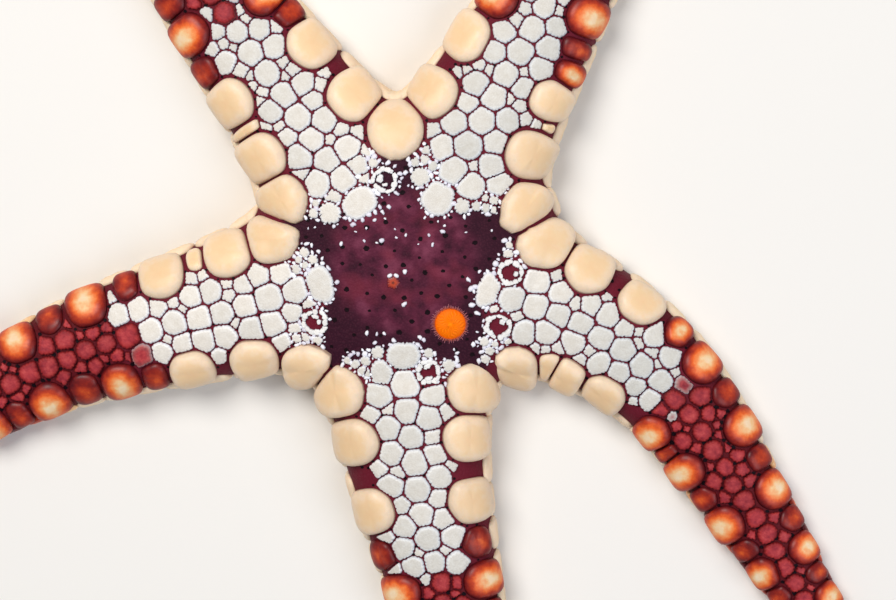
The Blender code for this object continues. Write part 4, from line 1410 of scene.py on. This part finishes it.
# %% [markdown]
# The underside
# A museum model is turned over too. Down the middle of each arm runs a furrow with two rows of tube feet,
# edged by small plates that carry blunt spines, and the rest of the sole is paved. The photo doesn't show
# this side, so it follows the group's common plan. The same packing and cell functions lay it, with rays
# cast from below.

# %% Sole plates
SOLE_GROOVE, SOLE_SIDES = 0.12 * MM, 18
SOLE_RADII = (0.66, 0.56, 0.46, 0.37, 0.29, 0.22)
EDGE_PLATE_FROM, EDGE_PLATE_TO, EDGE_HALF = 3.1 * MM, 46.6 * MM, 0.36 * MM
JAW_REACH = MOUTH_RADIUS + 0.85 * MM
SOLE_DOME = ((0.95, -0.9), (1.0, 0.2), (0.93, 0.62), (0.72, 0.9), (0.4, 1.0))
SOLE_RISE, SOLE_LOWEST, SOLE_HIGHEST = SOLE_LIFT - 0.05 * MM, 0.04 * MM, 1.2 * MM


def sole_half(arm, s):
    """Half the width of the sole between the feet of the lower plates."""
    return arm.half_width(s) - np.maximum(0.30 * arm.ridge(s), 0.45 * MM)


def on_sole(arm, places, s, t, size):
    """Whether a plate of that size would lie on the arm's sole, beside the furrow's edge plates."""
    distance, heading = polar(places)
    own_side = (turn_between(heading, arm.root) < 36) | (distance > CROTCH_REACH)
    clear = np.abs(t) - size > furrow_half(s) + 0.65 * MM
    within = (np.abs(t) + size < sole_half(arm, s) + 0.3 * MM) | (distance + size < CROTCH_REACH - 1.1 * MM)
    return own_side & clear & within & (distance - size > MOUTH_RADIUS)


edge_plates = []
for arm in arms.values():
    for side in (LEFT, RIGHT):
        s = EDGE_PLATE_FROM
        while s < EDGE_PLATE_TO:
            long = 0.55 * MM + 0.06 * float(arm.taper(s))
            middle = s + long / 2
            place = arm.at(middle, side * (furrow_half(middle) + 0.36 * MM))
            plate = Plate(place, arm.along(middle), long / 2, EDGE_HALF, 3.0, 1.0, "edge")
            plate.arm, plate.s, plate.side = arm, middle, side
            edge_plates.append(plate)
            s += long
paving = []
for name in names:  # a pair of plates in each angle of the mouth
    way = way_at(math.radians(crotch_heading(name)))
    for side in (LEFT, RIGHT):
        place = DISC_CENTRE + way * JAW_REACH + leftward(way) * (side * 0.36 * MM)
        paving.append(Plate(place, way, 0.75 * MM, 0.36 * MM, 2.6, 1.0, "jaw", arm=arms[name], s=3 * MM))
for arm in arms.values():
    fixed = [*[plate for plate in edge_plates if plate.arm is arm], *paving, *lower_feet]
    paving += pack(arm, fixed, SOLE_RADII, 2.6 * MM, 45 * MM, on_sole, "sole", 1.3)
whole_sole = [*edge_plates, *paving, *lower_feet]
pieces = {"furrow_plates": Pebbles(*PLATE_VALUES), "sole_plates": Pebbles(*PLATE_VALUES)}
for plate, outline in zip(whole_sole, outlines_of(whole_sole, SOLE_SIDES, SHARPNESS, SOLE_GROOVE)):
    if plate.kind == "foot" or outline.mean() < 0.14 * MM:
        continue
    outline = np.append(outline[:1], outline[:0:-1])  # mirrored, because the dome's normal points down
    rings, top = set_dome(plate.place, EAST, DOWN, outline, SOLE_RISE, SOLE_DOME, UP)
    rings[..., 2] = np.clip(rings[..., 2], SOLE_LOWEST, SOLE_HIGHEST)
    red = 0.06 + 0.6 * float(smoothstep((plate.s - plate.arm.turns_red - PALE_BELOW) / (5 * MM)))
    piece = pieces["furrow_plates" if plate.kind == "edge" else "sole_plates"]
    piece.add(rings, top, plate.place, outline, red=red, tone=draw.uniform(0.92, 1.04), rim=shares(SOLE_DOME))
for name, piece in pieces.items():
    piece.make(name, ivory, "arm_base")

# %% [markdown]
# Tube feet and spines
# Both are small blunt rods. A tube foot is soft, moist muscle with a sucker, so it is a little glossy and
# lets some light in. A spine is bare lime under thin skin, paler and drier. One function makes every rod.


# %% Rods and their finish
def add_rod(pebbles, place, start, end, radius, stages, sides, reach):
    """Adds a blunt rod from start to end; stages give (share of length, share of radius)."""
    axis = (end - start).normalized()
    side = axis.cross(Vector((0.3, 0.5, 0.8))).normalized()
    fore = axis.cross(side)
    turns = full_turn(sides)
    rings = []
    for share, wide in stages:
        middle = start.lerp(end, share)
        rings.append([middle + (side * math.cos(a) + fore * math.sin(a)) * (radius * wide) for a in turns])
    pebbles.add(np.array(rings, float), np.array(end), place, np.full(sides, reach), end=shares(stages, 1.0))


def soft_finish(name, near, far, roughness):
    material, tree, shader = new_material(name)
    end = node(tree, "Attribute", attribute_name="end")
    body = node(tree, "ValToRGB", {"Fac": end}, ((0.0, near), (1.0, far)))
    fill(tree, shader, {"Base Color": body, "Roughness": roughness, "Subsurface Weight": 0.1})
    fill(tree, shader, {"Subsurface Radius": (0.4 * MM, 0.2 * MM, 0.1 * MM), "Subsurface Scale": 1.0})
    return material


# %% Tube feet
FOOT_STAGES = ((0.0, 1.0), (0.3, 0.9), (0.75, 0.85), (0.86, 1.35), (0.97, 1.4), (1.0, 1.1))
FOOT_FROM, FOOT_TO, FOOT_STEP, FOOT_END = 2.6 * MM, 45.5 * MM, 0.72 * MM, 0.05 * MM
feet = Pebbles("end")
for arm in arms.values():
    for side in (LEFT, RIGHT):
        for s in np.arange(FOOT_FROM, FOOT_TO, FOOT_STEP):
            half = float(furrow_half(s))
            place = arm.at(s, side * 0.42 * half)
            roof, _ = seat(level(place), UP)
            foot = level(arm.at(s + draw.uniform(-0.15, 0.15) * MM, side * 0.5 * half), FOOT_END)
            add_rod(feet, place, roof + UP * (0.1 * MM), foot, 0.21 * half, FOOT_STAGES, 8, 0.18 * MM)
feet.make("tube_feet", soft_finish("tube foot", "#C9825C", "#F0D2B0", 0.35), "arm_base")

# %% Spines of the furrows and the jaws
SPINE_STAGES = ((0.0, 1.0), (0.5, 1.05), (0.85, 0.85), (0.97, 0.5))
SPINE, JAW_SPINE = 0.085 * MM, 0.12 * MM
SPINE_PATCH = 0.12 * MM  # a spine's patch on the bake map
spines = Pebbles("end")
for plate in edge_plates:
    inward = level(plate.arm.across(plate.s) * -plate.side)
    for shift in (-0.25, 0.25):
        s = plate.s + shift * 2 * plate.half_long * 0.9
        foot = plate.arm.at(s, plate.side * (float(furrow_half(plate.s)) + 0.12 * MM))
        start = level(foot, SOLE_LIFT - 0.05 * MM)
        end = start + inward * (0.42 * MM) + DOWN * (0.20 * MM)
        add_rod(spines, foot, start, end, SPINE, SPINE_STAGES, 7, SPINE_PATCH)
for name in names:
    for turn in (-0.34, -0.12, 0.12, 0.34):
        way = way_at(math.radians(crotch_heading(name)) + turn)
        foot = DISC_CENTRE + way * 2.3 * MM
        end = level(foot - way * 0.8 * MM, 0.10 * MM)
        add_rod(spines, foot, level(foot, SOLE_LIFT), end, JAW_SPINE, SPINE_STAGES, 7, SPINE_PATCH)
spines.make("furrow_spines", soft_finish("blunt lime spine", "#E8C8A4", "#F6E2C6", 0.5), "arm_base")

# %% [markdown]
# The madreporite
# The sieve plate through which the animal takes in water: a round, bright orange button of porous lime with
# fine grooves that wind out from its middle. The grooves are real dips in the mesh, and its pores make it
# matt.

# %% Madreporite
MADREPORITE_RADIUS, BUTTON_RISE, GROOVE_DEPTH = 1.08 * MM, 0.30 * MM, 0.05 * MM
BUTTON_SIDES, BUTTON_RINGS, WINDINGS = 120, 22, 30
BUTTON_ROOT = ((0.94, -0.5 * MM), (1.0, -0.15 * MM))


def sieve_finish():
    material, tree, shader = new_material("sieve plate")
    groove, rim = [node(tree, "Attribute", attribute_name=name) for name in ("groove", "rim")]
    body = node(tree, "ValToRGB", {"Fac": rim}, ((0.0, "#FF8C00"), (1.0, "#E85400"), (0.75, "#FC7C00")))
    # Painted shade: the grooves are coloured darker on top of their real dips
    deep = node(tree, "Mix", {SHARE: groove, LOWER: body, UPPER: colour("#EA6A00")}, **RGBA)
    fill(tree, shader, {"Base Color": deep, "Roughness": 0.5, "Specular IOR Level": 0.1})
    return material


def make_madreporite():
    turns = full_turn(BUTTON_SIDES)
    inner = np.linspace(0.99, 0.04, BUTTON_RINGS)
    levels = [*BUTTON_ROOT, *[(share, BUTTON_RISE * (1 - share**2.6)) for share in inner]]
    hit, normal = seat_above(MADREPORITE_PLACE)
    side = normal.cross(Vector((0, 1, 0))).normalized()
    fore = normal.cross(side)
    rings, grooves = [], []
    for share, height in levels:
        wind = WINDINGS * turns + 3.5 * np.sin(5 * turns + 9 * share) + 5 * share
        deep = (0.5 - 0.5 * np.cos(wind)) * smoothstep((1 - share) / 0.1) * smoothstep(share / 0.25)
        ring = []
        for turn, dip in zip(turns, deep):
            flat = (side * math.cos(turn) + fore * math.sin(turn)) * (MADREPORITE_RADIUS * share)
            ring.append(hit + flat + normal * (height - GROOVE_DEPTH * dip))
        rings.append(ring)
        grooves.append(deep)
    button = Pebbles("groove", "rim")
    top, reach = np.array(hit + normal * BUTTON_RISE), np.full(BUTTON_SIDES, MADREPORITE_RADIUS)
    values = {"groove": np.append(np.concatenate(grooves), 0), "rim": shares(levels)}
    button.add(np.array(rings, float), top, MADREPORITE_PLACE, reach, **values)
    return button.make("sieve_plate", sieve_finish(), "madreporite")


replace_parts(make_madreporite(), "madreporite")

# %% Fringe round the madreporite
HAIRS, HAIR = 84, 0.026 * MM
fringe = Pebbles("end")
for turn in full_turn(HAIRS) + draw.uniform(-0.02, 0.02, HAIRS):
    way = way_at(turn)
    inner = MADREPORITE_PLACE + way * 1.02 * MM
    outer = MADREPORITE_PLACE + way * draw.uniform(1.18, 1.38) * MM
    start, end = seat_above(inner)[0] + UP * (0.10 * MM), seat_above(outer)[0] + UP * (0.05 * MM)
    add_rod(fringe, inner, start, end, HAIR, SPINE_STAGES, 5, 0.05 * MM)
fringe.make("sieve_fringe", soft_finish("fine skin fringe", "#C05A38", "#A06078", 0.5), "madreporite")

# %% [markdown]
# Floor, light and camera
# A pale, plain floor and soft boxes of light, as in a studio. The photo was taken from almost straight
# above with a long lens, so the camera leans only a few degrees, and the arms run out of the frame as they
# do there.

# %% Camera
PHOTO_WIDTH, PHOTO_SCALE = 896, 14.73 / MM  # pixels across, and pixels to a metre of the animal
SENSOR, LENS = 36.0, 85.0
LEAN_UP, LEAN_RIGHT = math.radians(6), math.radians(3)
aim = level(on_disc(2.85, -2.85), 3 * MM)
away = PHOTO_WIDTH / PHOTO_SCALE * LENS / SENSOR
camera_data = bpy.data.cameras.new("camera")
camera_data.lens, camera_data.sensor_width = LENS, SENSOR
camera_data.clip_start, camera_data.clip_end = 0.005, 5.0
camera = add_object("camera", camera_data)
back = Vector((math.tan(LEAN_RIGHT), math.tan(LEAN_UP), 1)).normalized()
camera_right = (EAST - back * back.x).normalized()
camera_up = back.cross(camera_right)
camera.matrix_world = Matrix((camera_right, camera_up, back)).transposed().to_4x4()
camera.location = aim + back * away
scene.camera = camera
print("camera distance in mm:", round(away / MM, 1))

# %% Floor and lights
FLOOR_HALF = 2.0  # metres, so that its edges are far out of every view
floor_mesh = bpy.data.meshes.new("floor")
floor_mesh.from_pydata([(x * FLOOR_HALF, y * FLOOR_HALF, 0) for x, y in CORNERS], [], [(0, 1, 2, 3)])
floor = add_object("floor", floor_mesh)
material, tree, shader = new_material("matt studio board")
fill(tree, shader, {"Base Color": colour("#E9E7E3"), "Roughness": 0.9})
floor_mesh.materials.append(material)
floor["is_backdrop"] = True


def soft_box(name, place, size, watts, code):
    light = bpy.data.lights.new(name, "AREA")
    light.shape, light.size, light.energy, light.color = "DISK", size, watts, colour(code)[:3]
    lamp = add_object(name, light)
    lamp.location = place
    lamp.rotation_mode = "QUATERNION"
    lamp.rotation_quaternion = (aim - lamp.location).to_track_quat("-Z", "Y")
    print(name, "light at", round((aim - lamp.location).length / MM), "mm")


soft_box("key", Vector((-0.09, 0.14, 0.26)), 0.18, 0.86, "#FFFAF4")
soft_box("fill", Vector((0.18, -0.08, 0.22)), 0.24, 0.40, "#F2F6FF")
world = bpy.data.worlds.new("studio")
scene.world = world
world.use_nodes = True
fill(world.node_tree, world.node_tree.nodes["Background"], {"Color": colour("#DCE2E8"), "Strength": 0.26})
scene.view_settings.view_transform, scene.view_settings.look = "Standard", "None"

# %% Sizes and hand-over
bpy.data.collections.remove(workshop)
dressed_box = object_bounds()
[[list(corner) for corner in box] for box in (cad_box, dressed_box)]
print("CAD box in mm:", [[round(v / MM, 2) for v in corner] for corner in cad_box])
print("dressed box in mm:", [[round(v / MM, 2) for v in corner] for corner in dressed_box])
